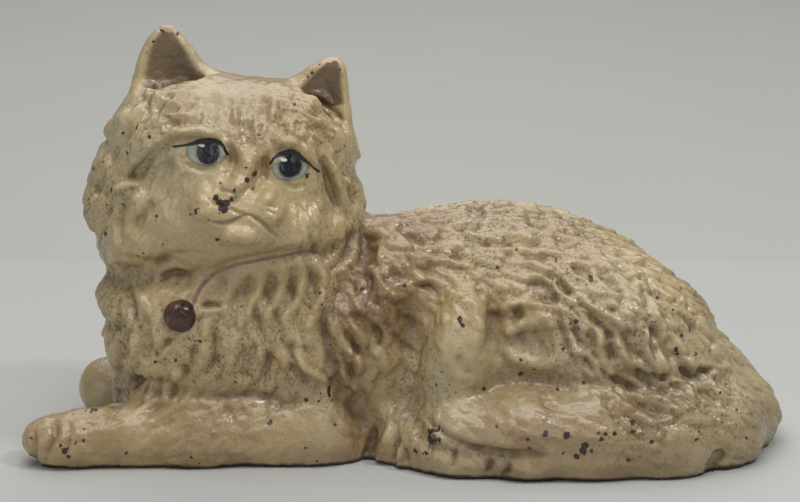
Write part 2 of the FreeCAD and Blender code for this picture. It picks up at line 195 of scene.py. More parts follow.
# Tool marks on the face side, by region: width, height (cut where negative), and the path of the
# stroke as (x, z) points.
STROKES = {
    "left_cheek": (
        (5, -2.0, ((-79, 116), (-84, 112), (-89, 107), (-93, 103), (-98, 99))),
        (3, 1.2, ((-101, 96), (-98, 98), (-95, 100), (-91, 99), (-90, 97))),
        (3, -1.2, ((-86, 112), (-89, 106), (-91, 100))),
        (3, -0.9, ((-98, 120), (-103, 113), (-106, 108))),
        (3, -0.9, ((-104, 103), (-106, 98), (-108, 91))),
        (3, -0.8, ((-101, 92), (-104, 86), (-105, 80))),
        (4, 0.9, ((-92, 125), (-100, 118), (-106, 110), (-109, 105))),
        (3.5, -0.9, ((-92, 120), (-97, 114), (-101, 108), (-102, 103))),
        (3.5, -0.8, ((-95, 95), (-98, 89), (-99, 82), (-98, 77))),
        (3, -0.7, ((-86, 95), (-90, 89), (-92, 83))),
        (3.5, 0.8, ((-90, 97), (-93, 91), (-95, 84), (-94, 78))),
        (4, -0.7, ((-101, 73), (-93, 73), (-86, 72), (-78, 76), (-71, 78))),
        (4, 0.5, ((-85, 68), (-80, 71), (-73, 72), (-69, 76))),
    ),
    "left_eye_surround": (
        (4, 1.1, ((-81, 116), (-77, 119), (-70, 120), (-65, 119), (-61, 116))),
        (4, -0.8, ((-79, 121), (-72, 123), (-65, 122), (-60, 118))),
        (2.4, -0.5, ((-75, 109), (-69, 107), (-62, 108))),
        (3, -0.9, ((-59, 116), (-58, 111), (-58, 107))),
    ),
    "right_eye_surround": (
        (3.5, 0.9, ((-44, 113), (-41, 116), (-36, 115), (-31, 110), (-28, 104))),
        (3, -0.8, ((-46, 112), (-47, 107), (-47, 102))),
        (2.4, -0.4, ((-41, 103), (-37, 100), (-32, 101))),
    ),
    "right_cheek": (
        (3.5, -1.9, ((-29, 111), (-26, 105), (-25, 100), (-23, 94), (-21, 88))),
        (3, -1.3, ((-18, 97), (-16, 90), (-17, 85))),
        (3, -0.9, ((-19, 108), (-16, 101), (-14, 94))),
        (4, -1.6, ((-19, 82), (-18, 76), (-21, 72), (-24, 70))),
        (3, -1.1, ((-14, 82), (-13, 77), (-14, 72))),
        (4, 0.9, ((-23, 88), (-20, 83), (-20, 77), (-22, 73))),
        (3, 0.8, ((-25, 108), (-23, 102), (-21, 96), (-20, 89))),
        (3, -0.9, ((-23, 110), (-20, 104), (-17, 98))),
        (3, -0.7, ((-28, 93), (-25, 87), (-25, 82))),
        (3, -0.6, ((-32, 84), (-30, 79), (-30, 75))),
    ),
    "forehead": (
        (5, -0.8, ((-54, 123), (-53, 118), (-52, 113))),
        (3, -0.7, ((-47, 130), (-47, 127), (-48, 123))),
        (4, -0.6, ((-66, 131), (-63, 126), (-60, 121))),
        (3.5, 0.6, ((-58, 131), (-57, 126), (-57, 121))),
        (3.5, 0.6, ((-44, 130), (-44, 126), (-45, 121))),
        (2.6, -1.2, ((-79, 130), (-83, 127), (-85, 123))),
        (2.6, -1.1, ((-76, 127), (-81, 125), (-83, 122))),
        (2.6, -1.0, ((-74, 124), (-79, 122), (-82, 120))),
        (2.6, -0.8, ((-70, 129), (-74, 127), (-75, 125))),
        (2.6, 0.9, ((-78, 128), (-82, 126), (-84, 123))),
        (2.6, 0.8, ((-83, 130), (-86, 128), (-87, 125))),
        (2.6, -1.0, ((-85, 130), (-88, 127), (-89, 124))),
        (2.6, -0.7, ((-68, 125), (-72, 123), (-73, 122))),
        (3, 0.7, ((-37, 122), (-38, 120), (-37, 118))),
        (3, 0.7, ((-33, 121), (-34, 118), (-32, 116))),
        (3, -0.7, ((-40, 126), (-41, 122), (-41, 119))),
        (3, -0.6, ((-35, 122), (-36, 119))),
        (3, -1.1, ((-31, 124), (-27, 122), (-24, 119), (-20, 117))),
        (3, -0.9, ((-30, 121), (-26, 116), (-24, 113))),
        (3, 0.9, ((-30, 122), (-26, 120), (-22, 117))),
        (3, -0.7, ((-25, 114), (-22, 111), (-20, 107))),
    ),
    "ear_folds": (
        (3, 0.9, ((-92, 131), (-88, 129), (-83, 129), (-76, 131))),
        (3, 0.8, ((-34, 127), (-29, 126), (-24, 121))),
    ),
    "nose_and_mouth": (
        (6, 1.2, ((-52, 113), (-53, 108), (-56, 103), (-58, 101))),
        (1.8, -0.8, ((-64, 99), (-63, 97), (-60, 96))),
        (1.6, -0.6, ((-58, 97), (-56, 98), (-56, 100))),
        (1.4, -0.4, ((-63, 101), (-59, 101), (-56, 100))),
        (1.8, -0.5, ((-59, 96), (-56, 94), (-52, 93))),
        (1.8, -0.6, ((-52, 93), (-57, 91), (-61, 90), (-66, 91))),
        (1.8, -0.6, ((-52, 93), (-48, 91), (-45, 88), (-42, 84))),
        (6, 0.9, ((-62, 85), (-55, 86), (-49, 85))),
        (1.0, -0.25, ((-46, 95), (-42, 93))),
        (1.0, -0.25, ((-46, 97), (-42, 95))),
        (5, 0.8, ((-50, 101), (-46, 100), (-43, 97))),
        (5, 0.5, ((-68, 103), (-68, 100), (-68, 96))),
    ),
    "left_bib": (
        (4, -1.1, ((-96, 63), (-95, 55), (-92, 50))),
        (4, -1.0, ((-100, 53), (-98, 46), (-99, 36), (-101, 27))),
        (4, 0.5, ((-86, 67), (-81, 71), (-72, 71))),
        (3, -0.8, ((-85, 65), (-80, 68), (-74, 68))),
        (4, 0.9, ((-94, 61), (-90, 58), (-88, 52))),
        (4, -0.9, ((-88, 49), (-90, 43), (-89, 36))),
        (3, -1.3, ((-80, 47), (-84, 43), (-86, 39))),
        (3, 0.8, ((-83, 46), (-86, 41))),
        (3, -1.8, ((-97, 24), (-94, 28), (-90, 30))),
        (4, 0.8, ((-94, 46), (-94, 39), (-95, 33))),
    ),
    "bib": (
        (4.5, -0.6, ((-61, 69), (-64, 65), (-67, 60), (-65, 56))),
        (4, -0.55, ((-52, 71), (-53, 65), (-57, 60), (-58, 53), (-56, 47))),
        (5, -0.6, ((-45, 72), (-45, 64), (-49, 57), (-50, 50), (-47, 44))),
        (4, -0.55, ((-39, 75), (-37, 68), (-39, 60), (-44, 53), (-43, 45))),
        (4.5, -0.75, ((-33, 75), (-31, 67), (-33, 59), (-36, 52), (-34, 44))),
        (4.5, -0.6, ((-27, 73), (-22, 66), (-23, 58), (-27, 51), (-26, 44))),
        (3.5, 0.8, ((-56, 70), (-59, 64), (-62, 59), (-60, 53))),
        (3.5, 0.9, ((-48, 72), (-49, 64), (-53, 57), (-53, 50))),
        (3.5, 0.9, ((-41, 74), (-41, 66), (-44, 59), (-47, 52), (-45, 46))),
        (3.5, 1.0, ((-35, 75), (-34, 67), (-36, 60), (-40, 53), (-38, 46))),
        (3.5, 1.0, ((-30, 74), (-27, 66), (-28, 59), (-31, 51), (-30, 45))),
        (3, 1.0, ((-72, 56), (-67, 57), (-62, 57))),
        (3, -0.9, ((-70, 59), (-65, 59), (-60, 59))),
        (4, 1.1, ((-60, 48), (-59, 42), (-61, 34))),
        (4, -0.9, ((-65, 50), (-64, 42), (-67, 35))),
        (4, -0.9, ((-72, 46), (-74, 37), (-77, 30))),
        (3.5, 0.8, ((-69, 48), (-69, 41), (-72, 33))),
        (4, -0.9, ((-53, 45), (-54, 36), (-56, 30))),
        (4, -0.8, ((-44, 44), (-47, 35), (-48, 28))),
        (3.5, 0.8, ((-49, 45), (-50, 37), (-52, 30))),
        (3.5, 1.2, ((-37, 42), (-34, 37), (-28, 32), (-24, 28))),
        (3.5, -1.0, ((-40, 38), (-36, 33), (-31, 28))),
        (3.5, 0.9, ((-78, 35), (-80, 30))),
        (4, -0.5, ((-100, 23), (-92, 26), (-85, 25), (-76, 27), (-67, 25), (-59, 26), (-50, 25),
                   (-41, 23), (-32, 23), (-24, 22))),
    ),
    "shoulder": (
        (6, -1.0, ((-24, 56), (-26, 48), (-24, 39), (-23, 30), (-20, 22), (-15, 15), (-11, 7), (-11, 2))),
        (3, 1.1, ((-15, 57), (-10, 54), (-7, 50))),
        (3, 1.2, ((-18, 53), (-14, 48), (-12, 42))),
        (3, -1.1, ((-20, 50), (-16, 44), (-15, 39))),
        (3, 1.1, ((-18, 44), (-15, 39), (-15, 32))),
        (3, -1.0, ((-21, 43), (-18, 35), (-17, 29))),
        (3, 1.0, ((-21, 35), (-17, 29), (-13, 23))),
    ),
    "foreleg": (
        (3, -1.1, ((-124, 17), (-121, 15), (-123, 10), (-125, 3))),
        (2.6, -0.8, ((-129, 14), (-129, 9), (-129, 1))),
        (3, -0.6, ((-117, 17), (-116, 12), (-117, 6))),
        (3, -0.7, ((-90, 18), (-87, 21), (-81, 22))),
        (3, -0.7, ((-104, 17), (-100, 21), (-96, 22))),
        (3, 0.6, ((-85, 18), (-81, 21), (-76, 23))),
        (3, -0.5, ((-62, 23), (-59, 19), (-59, 16))),
        (3, -0.6, ((-24, 19), (-21, 13), (-15, 8))),
    ),
    "flank": (
        (6, -1.6, ((-12, 80), (-11, 74), (-15, 68))),
        (3.5, 1.2, ((-13, 58), (-8, 56), (-6, 50))),
        (3.5, 1.2, ((-19, 52), (-15, 48), (-13, 41))),
        (3.5, 1.0, ((-19, 43), (-15, 39), (-14, 33))),
        (3, -1.2, ((-16, 67), (-11, 67), (-12, 60))),
        (3, 1.0, ((-14, 68), (-9, 69), (-6, 64))),
        (3, -1.0, ((-10, 52), (-7, 47), (-9, 41))),
        (3, -0.8, ((-1, 81), (5, 79), (11, 75))),
        (3, -0.7, ((2, 74), (8, 70), (13, 67))),
        (3, 0.9, ((24, 66), (28, 64), (31, 59))),
        (3, -0.8, ((12, 74), (19, 72), (24, 70))),
        (3, 0.7, ((16, 71), (22, 70), (26, 67))),
        (3, -0.8, ((24, 67), (28, 63), (28, 59))),
        (9, -1.2, ((4, 58), (3, 49), (5, 37))),
        (3, -0.7, ((-4, 71), (0, 67), (5, 66))),
        (3, 0.8, ((-6, 66), (-2, 61), (3, 60))),
        (3, -0.8, ((7, 64), (11, 63), (14, 59))),
    ),
    "back": (
        (2.6, -1.2, ((24, 83), (27, 83), (31, 83))),
        (2.6, -1.0, ((34, 80), (38, 80), (42, 80))),
        (2.6, -1.2, ((45, 82), (49, 81), (54, 80))),
        (2.6, -1.1, ((55, 77), (58, 76), (62, 75))),
        (2.6, -1.4, ((63, 78), (67, 77), (70, 75))),
        (2.6, -1.5, ((60, 71), (64, 69), (68, 67))),
        (2.8, -2.0, ((70, 69), (74, 66), (78, 63))),
        (2.4, -0.8, ((13, 82), (18, 83), (23, 84))),
        (2.4, -0.8, ((18, 79), (24, 80), (30, 80))),
        (2.4, -0.8, ((2, 80), (6, 78), (11, 78))),
        (2.4, -0.8, ((28, 76), (34, 76), (40, 76))),
        (2.4, -0.8, ((42, 73), (48, 73), (53, 72))),
        (2.4, 0.8, ((22, 78), (28, 78), (34, 78))),
        (2.4, 0.8, ((36, 78), (42, 78), (48, 77))),
        (2.4, 0.8, ((44, 71), (49, 70), (55, 68))),
        (2.6, -1.2, ((55, 67), (57, 65), (60, 62))),
        (2.4, -0.8, ((77, 69), (80, 67), (83, 64))),
        (2.4, -0.8, ((87, 65), (90, 61), (94, 58))),
        (2.6, -1.2, ((101, 57), (104, 53), (107, 49))),
        (2.6, -1.3, ((110, 47), (114, 43), (121, 35))),
        (2.6, -1.0, ((103, 36), (107, 34), (112, 33))),
    ),
    "knee": (
        (6, 1.2, ((16, 59), (22, 61), (27, 57), (28, 50), (26, 43))),
        (7, -0.9, ((32, 59), (32, 49), (34, 42), (38, 38))),
        (4, -0.6, ((20, 44), (22, 38), (26, 35))),
    ),
    "hollow": (
        (3.5, 1.3, ((35, 55), (39, 58), (43, 59), (45, 55))),
        (3.5, 1.1, ((36, 48), (41, 50), (44, 53))),
        (3.5, -0.6, ((38, 52), (41, 54), (43, 56))),
        (4, -0.9, ((44, 64), (49, 65), (53, 63), (54, 58))),
        (5, 0.6, ((35, 43), (41, 39), (49, 38), (58, 41))),
        (4, -1.2, ((55, 56), (57, 48), (59, 42))),
    ),
    "haunch": (
        (3, -1.2, ((59, 54), (62, 48), (64, 45))),
        (5, -1.3, ((67, 52), (66, 45), (68, 39))),
        (5, -1.4, ((74, 52), (73, 44), (75, 39))),
        (7, -1.5, ((77, 52), (81, 46), (85, 40))),
        (5, -1.6, ((90, 53), (89, 46), (91, 40))),
        (5.5, -1.9, ((94, 48), (95, 42), (98, 38))),
        (3, 1.3, ((88, 58), (91, 51), (93, 46))),
        (3, 1.1, ((65, 60), (73, 56), (79, 50))),
        (3, 0.9, ((72, 61), (77, 58), (81, 54))),
        (3, -0.9, ((68, 62), (75, 59), (80, 57))),
        (3, -1.0, ((64, 57), (69, 53), (74, 49))),
        (3, 1.2, ((70, 53), (70, 46), (72, 39))),
        (3, 1.0, ((76, 49), (78, 44), (80, 39))),
        (3, 1.3, ((86, 51), (86, 45), (88, 39))),
        (3, -1.0, ((84, 62), (88, 58))),
        (3, 1.3, ((59, 44), (65, 43), (68, 39), (70, 34))),
        (4, -1.0, ((63, 41), (66, 39), (68, 36))),
        (4, -1.0, ((79, 37), (87, 34), (95, 33))),
        (3, -1.2, ((98, 41), (100, 35), (106, 32))),
        (3, 1.0, ((101, 41), (103, 37), (110, 35))),
        (3, -1.0, ((111, 43), (112, 37), (117, 33))),
    ),
    "tail": (
        (3, -1.2, ((73, 35), (79, 32), (83, 30))),
        (3, 1.3, ((93, 33), (99, 30), (102, 27), (103, 24))),
        (3, 1.2, ((85, 28), (92, 26), (100, 23))),
        (3, 1.1, ((75, 28), (80, 24), (87, 21), (92, 19))),
        (3, -1.1, ((79, 29), (85, 25), (94, 22))),
        (3, -1.1, ((85, 32), (92, 29), (98, 25))),
        (3, -1.0, ((69, 29), (75, 23), (77, 18))),
        (3, -0.9, ((105, 29), (109, 26), (113, 23))),
        (3, 0.9, ((106, 30), (111, 27), (115, 24))),
        (3, -0.8, ((113, 31), (117, 28), (120, 25))),
        (3, -0.6, ((48, 30), (51, 27), (55, 25))),
        (3, 0.7, ((66, 31), (70, 27), (73, 22))),
        (4, -1.3, ((9, 20), (15, 16), (22, 13), (31, 11), (41, 11), (53, 11))),
    ),
    "base_edge": (
        (2.6, -1.3, ((30, 2), (31, 5), (32, 9))),
        (2.6, -1.3, ((36, 1), (37, 4), (38, 8))),
        (2.6, -0.9, ((18, 4), (19, 9), (20, 12))),
        (2.6, -0.8, ((10, 8), (12, 15))),
        (3, -1.6, ((-13, 0), (-10, 8), (-9, 13))),
        (3, 1.3, ((-8, 0), (-6, 6), (-4, 13))),
        (3, -1.6, ((-3, 0), (-2, 8), (-1, 15))),
        (3, -1.3, ((2, 3), (1, 9))),
        (3, 1.0, ((0, 3), (0, 9))),
        (6, -3.0, ((109, -1), (111, 4), (115, 8))),
    ),
}

# Chips in the enamel of the face side, by region: x, z and radius of each.
CHIPS = {
    "ears": (
        (-84.6, 148.7, 0.9), (-88.2, 145.2, 0.7), (-79.4, 148.1, 0.7), (-92.8, 136.7, 0.4),
        (-90.5, 141.0, 0.4), (-28.7, 136.6, 0.5), (-31.3, 134.0, 0.6), (-32.8, 132.7, 0.7),
        (-21.4, 135.0, 0.4),
    ),
    "cheeks": (
        (-87.0, 116.8, 0.7), (-99.4, 111.1, 0.4), (-104.7, 105.5, 0.5), (-103.4, 105.7, 0.4),
        (-101.3, 96.9, 0.7), (-96.8, 92.4, 0.6), (-103.2, 91.6, 0.4), (-97.0, 89.7, 0.4),
        (-104.1, 81.1, 0.7), (-106.2, 78.7, 0.7), (-84.6, 89.9, 0.4), (-108.4, 91.9, 0.4),
    ),
    "bridge_and_chin": (
        (-53.0, 108.7, 0.9), (-50.2, 105.6, 1.0), (-52.7, 104.5, 1.0), (-61.7, 102.9, 0.7),
        (-50.5, 100.9, 0.5), (-48.7, 118.1, 0.7), (-63.0, 83.7, 0.7), (-36.9, 126.7, 0.4),
    ),
    "nose": (
        (-60.6, 95.6, 1.8),
        (-63.4, 98.4, 1.2), (-61.9, 97.2, 1.3), (-59.6, 97.2, 1.2), (-57.7, 98.2, 0.9),
        (-61.0, 95.9, 0.7),
    ),
    "chest": (
        (-70.1, 46.1, 0.5), (-86.2, 37.7, 0.8), (-33.2, 23.6, 0.8), (-45.9, 16.9, 0.7),
        (-22.9, 15.3, 0.7), (-13.3, 63.1, 0.7), (-30.3, 55.6, 0.4), (-64.2, 24.0, 0.5),
    ),
    "foreleg": (
        (-96.0, 7.0, 0.6), (-75.9, 12.1, 0.6), (-33.2, 8.2, 0.4), (-109.3, 19.2, 0.6),
        (-117.8, 8.1, 1.4), (-119.2, 9.8, 0.8), (-116.6, 5.8, 0.8), (-111.6, 7.0, 0.6),
        (-130.6, 4.6, 0.7), (-130.1, 11.2, 0.5), (-114.0, 10.7, 0.5), (-111.1, 11.3, 0.6),
        (-116.3, 11.4, 0.6), (-107.7, 19.5, 0.4), (-29.5, 2.7, 0.4), (-29.5, -0.3, 0.4),
        (-118.1, -0.2, 0.7), (-111.1, 14.6, 0.4),
    ),
    "flank_and_knee": (
        (1.9, 64.1, 0.8), (20.9, 54.7, 1.1), (21.9, 53.0, 0.9), (34.5, 69.5, 0.8),
        (-13.8, 63.2, 0.7), (29.5, 29.2, 0.9), (12.8, 31.3, 0.5), (13.8, 33.7, 0.4),
        (25.3, 14.9, 0.4),
    ),
    "back": (
        (55.1, 72.4, 0.7), (67.0, 67.1, 0.7), (41.7, 75.1, 0.5), (49.4, 77.5, 0.4),
        (100.7, 59.3, 0.5),
    ),
    "haunch": (
        (56.8, 44.1, 0.8), (61.2, 54.0, 0.8), (62.2, 51.6, 0.5), (99.0, 46.5, 0.8),
        (97.0, 42.8, 0.9), (97.4, 41.0, 0.7), (102.3, 48.1, 0.5), (103.8, 40.3, 0.6),
        (44.8, 39.0, 0.6), (42.3, 39.3, 0.6),
    ),
    "tail": (
        (42.4, 33.9, 0.7), (64.3, 32.4, 0.6), (55.2, 29.7, 0.5), (37.9, 18.0, 0.7),
        (44.3, 16.5, 0.7), (50.2, 18.3, 1.0), (57.7, 17.8, 1.2), (68.6, 18.5, 0.8),
        (71.1, 18.2, 0.8), (74.3, 18.2, 0.8), (80.5, 20.8, 0.8), (80.7, 18.5, 0.7),
        (63.8, 14.2, 1.4), (63.5, 12.0, 1.4), (61.0, 10.3, 0.8), (66.4, 12.3, 0.9),
        (79.2, 8.5, 0.8), (87.1, 15.0, 0.6), (121.8, 11.8, 0.6), (33.9, 20.1, 0.5),
        (47.0, 36.4, 0.5),
    ),
}

# Patches of the face side darkened by settled dirt and by painted shade: x, z, reach and share.
SOIL_AND_SHADE = (
    (-5, 62, 24, 0.75), (3, 78, 18, 0.6), (-16, 32, 18, 0.5), (-14, 6, 14, 0.7), (42, 60, 18, 0.4),
    (62, 80, 30, 0.25), (-52, 124, 26, 0.35), (-33, 122, 12, 0.35), (-78, 126, 12, 0.4),
    (-70, 4, 30, 0.6), (-105, 4, 28, 0.55), (45, 10, 32, 0.6), (80, 12, 32, 0.5),
)

# Painted features of the face side, as (x, z) points.
EYES = (
    {"ball": (-66.7, 113.0, 6.9, 4.6), "pupil": (-66.2, 112.7, 3.9), "glint": (-68.6, 115.2, 0.9),
     "lash": ((-78.4, 114.5), (-74.4, 115.0), (-71.5, 115.7), (-68.5, 116.5), (-64.9, 116.6),
              (-61.9, 115.6), (-60.5, 113.4), (-59.6, 111.6))},
    {"ball": (-38.0, 107.5, 6.2, 4.9), "pupil": (-38.0, 107.5, 3.8), "glint": (-40.2, 109.9, 0.9),
     "lash": ((-28.3, 104.6), (-31.6, 108.0), (-34.6, 110.6), (-37.5, 112.2), (-40.4, 112.1),
              (-43.4, 110.7), (-44.9, 108.7))},
)
LASH_WIDTH = 1.05
MOUTH = ((-66, 91), (-61, 90), (-57, 91.3), (-52, 93.3), (-48, 91.2), (-45, 88.5), (-42, 84))
RIBBON = (
    (-73, 58), (-70, 64), (-65, 69), (-58, 72.5), (-49, 75), (-40, 76.4), (-33, 77), (-26, 74.5),
)
BELL = (-77.0, -45.5, 55.0)
BELL_RADIUS = 5.6

# Casting details that the two shells share with the screws, in millimetres.
FRONT_POST, REAR_POST = 8.5, 10.0
TAPPED_RADIUS, CLEAR_RADIUS = 3.25, 3.65
COUNTERBORE_CLEARANCE = 1.2
SCREW_HEAD_HIGH = 4.2
TAPPED_DEPTH = 26.0
SLOT_LONG, SLOT_WIDE = 38.0, 5.0
SLOT_CUT = (60.0, 110.0)   # heights that the slot's cutter stands between
DOWELS = ((4.0, 75.0), (108.0, 38.0), (-98.0, 30.0), (-58.0, 122.0))
DOWEL_RADIUS, DOWEL_LONG, DOWEL_PAD = 2.4, 5.0, 5.5
SOCKET_CLEARANCE = 0.25

DEEPEST_MARK = 2.7         # below this a mark would near the hollow inside, mm
FAR = 50.0                 # stands for a paint mark that is nowhere near, mm
MARK_LIMIT = 10.0          # distances to paint marks are kept no larger than this, mm

# The coat: tries at placing a lock, how far apart locks keep as a share of their size, the least
# height worth a lock, how deep the skin between locks settles, and the number of fine grooves.
LOCK_TRIES, LOCK_SPREAD, LEAST_LOCK = 26000, 0.56, 0.14
SETTLE = 0.85
STRANDS, STRAND_HEIGHT = 14000, 0.34

# How the coat lies: place, direction of the hair, height, length and width of a lock.
COAT = (
    ((-80, -30, 125), (-0.5, 0, -0.8), 0.6, 9, 3.6),
    ((-55, -34, 124), (0.1, 0, 1), 0.35, 9, 3.6),
    ((-34, -30, 120), (0.5, 0, -0.7), 0.6, 9, 3.6),
    ((-100, -20, 110), (-0.7, 0, -0.7), 0.6, 14, 6),
    ((-102, -20, 88), (-0.4, 0, -0.9), 0.6, 15, 6),
    ((-90, -32, 80), (-0.4, 0, -0.9), 0.4, 12, 5),
    ((-60, -45, 85), (0, 0, -1), 0.0, 10, 6),
    ((-55, -45, 105), (0, 0, -1), 0.0, 10, 6),
    ((-30, -35, 92), (0.2, 0, -1), 0.35, 16, 5),
    ((-18, -20, 90), (0.15, 0.1, -1), 0.8, 20, 5),
    ((-20, -22, 72), (0, 0, -1), 0.8, 16, 5),
    ((-60, -30, 128), (0, 0.4, 0.9), 0.15, 10, 5),
    ((-100, -22, 45), (-0.15, 0, -1), 0.8, 12, 5),
    ((-75, -42, 45), (-0.1, 0, -1), 0.75, 14, 5),
    ((-50, -46, 45), (0.15, 0, -1), 0.85, 15, 5),
    ((-28, -44, 48), (0.3, 0, -1), 0.95, 14, 5),
    ((-10, -40, 58), (0.3, 0, -0.95), 0.9, 11, 6),
    ((0, -40, 40), (0.2, 0, -1), 0.8, 12, 6),
    ((0, -38, 22), (0.1, 0, -1), 0.5, 11, 5),
    ((-5, -20, 76), (0.8, 0, -0.5), 1.0, 10, 5),
    ((22, -18, 80), (1, 0, 0), 0.9, 15, 5),
    ((50, -20, 78), (1, 0, -0.15), 1.0, 16, 5),
    ((75, -22, 68), (0.85, 0, -0.5), 1.0, 13, 5),
    ((95, -18, 52), (0.75, 0, -0.65), 1.0, 14, 5),
    ((20, -38, 68), (0.85, 0, -0.5), 0.8, 11, 5),
    ((48, -44, 64), (0.8, 0, -0.6), 0.8, 11, 5),
    ((72, -46, 50), (0.7, 0, -0.75), 1.0, 13, 5),
    ((92, -40, 40), (0.65, 0, -0.75), 1.1, 13, 5.5),
    ((112, -30, 34), (0.7, 0.1, -0.7), 0.9, 14, 6),
    ((128, -10, 20), (0.6, 0.3, -0.75), 0.6, 14, 6),
    ((20, -50, 42), (0.2, 0, -1), 0.2, 12, 5),
    ((50, -50, 44), (0.5, 0, -0.8), 0.3, 12, 5),
    ((30, -58, 22), (0.6, 0, -0.7), 0.25, 12, 5),
    ((55, -60, 24), (0.8, 0, -0.5), 0.35, 13, 5),
    ((80, -60, 24), (0.8, 0, -0.5), 0.7, 14, 5),
    ((100, -56, 20), (0.8, 0.1, -0.5), 0.7, 14, 5.5),
    ((60, -62, 8), (1, 0, -0.1), 0.0, 12, 6),
    ((95, -60, 6), (1, 0.1, -0.1), 0.1, 12, 6),
    ((-60, -48, 18), (-1, 0, -0.2), 0.35, 10, 4.5),
    ((-110, -48, 12), (-1, 0, -0.2), 0.2, 9, 4),
    ((-25, -46, 15), (-0.5, 0, -0.8), 0.1, 10, 5),
    ((-60, 24, 115), (0, 0.2, -1), 0.8, 13, 6),
    ((-100, 8, 95), (-0.4, 0.3, -0.9), 0.9, 14, 6),
    ((-22, 10, 95), (0.4, 0.3, -0.9), 0.9, 14, 6),
    ((-60, 30, 85), (0.1, 0.1, -1), 1.0, 15, 6),
    ((-60, 34, 60), (0.4, 0, -0.9), 1.0, 15, 6.5),
    ((-95, 22, 40), (0.2, 0, -1), 0.9, 14, 6),
    ((-60, 40, 30), (0.4, 0, -0.9), 0.8, 14, 6),
    ((0, 26, 72), (0.95, 0, -0.3), 1.0, 13, 5.5),
    ((50, 26, 74), (0.95, 0, -0.3), 1.0, 13, 5.5),
    ((0, 42, 40), (0.75, 0, -0.65), 0.9, 14, 6),
    ((45, 46, 40), (0.75, 0, -0.65), 1.0, 14, 6),
    ((85, 38, 42), (0.75, 0, -0.65), 1.0, 14, 6),
    ((112, 20, 28), (0.75, -0.2, -0.6), 0.9, 14, 6),
    ((30, 46, 10), (0.5, 0, -0.9), 0.5, 12, 6),
    ((-110, 16, 18), (-1, 0, 0), 0.0, 10, 5),
    ((-82, -4, 136), (0, 0, 1), 0.0, 10, 5),
    ((-27, -4, 128), (0, 0, 1), 0.0, 10, 5),
)


def ease(value, low, high):
    """Go smoothly from 0 at low to 1 at high."""
    t = np.clip((value - low) / (high - low), 0.0, 1.0)
    return t * t * (3.0 - 2.0 * t)


# ---------------------------------------------------------------------------------------------
# Clay: a block of signed distances that the figure is built up in
# ---------------------------------------------------------------------------------------------

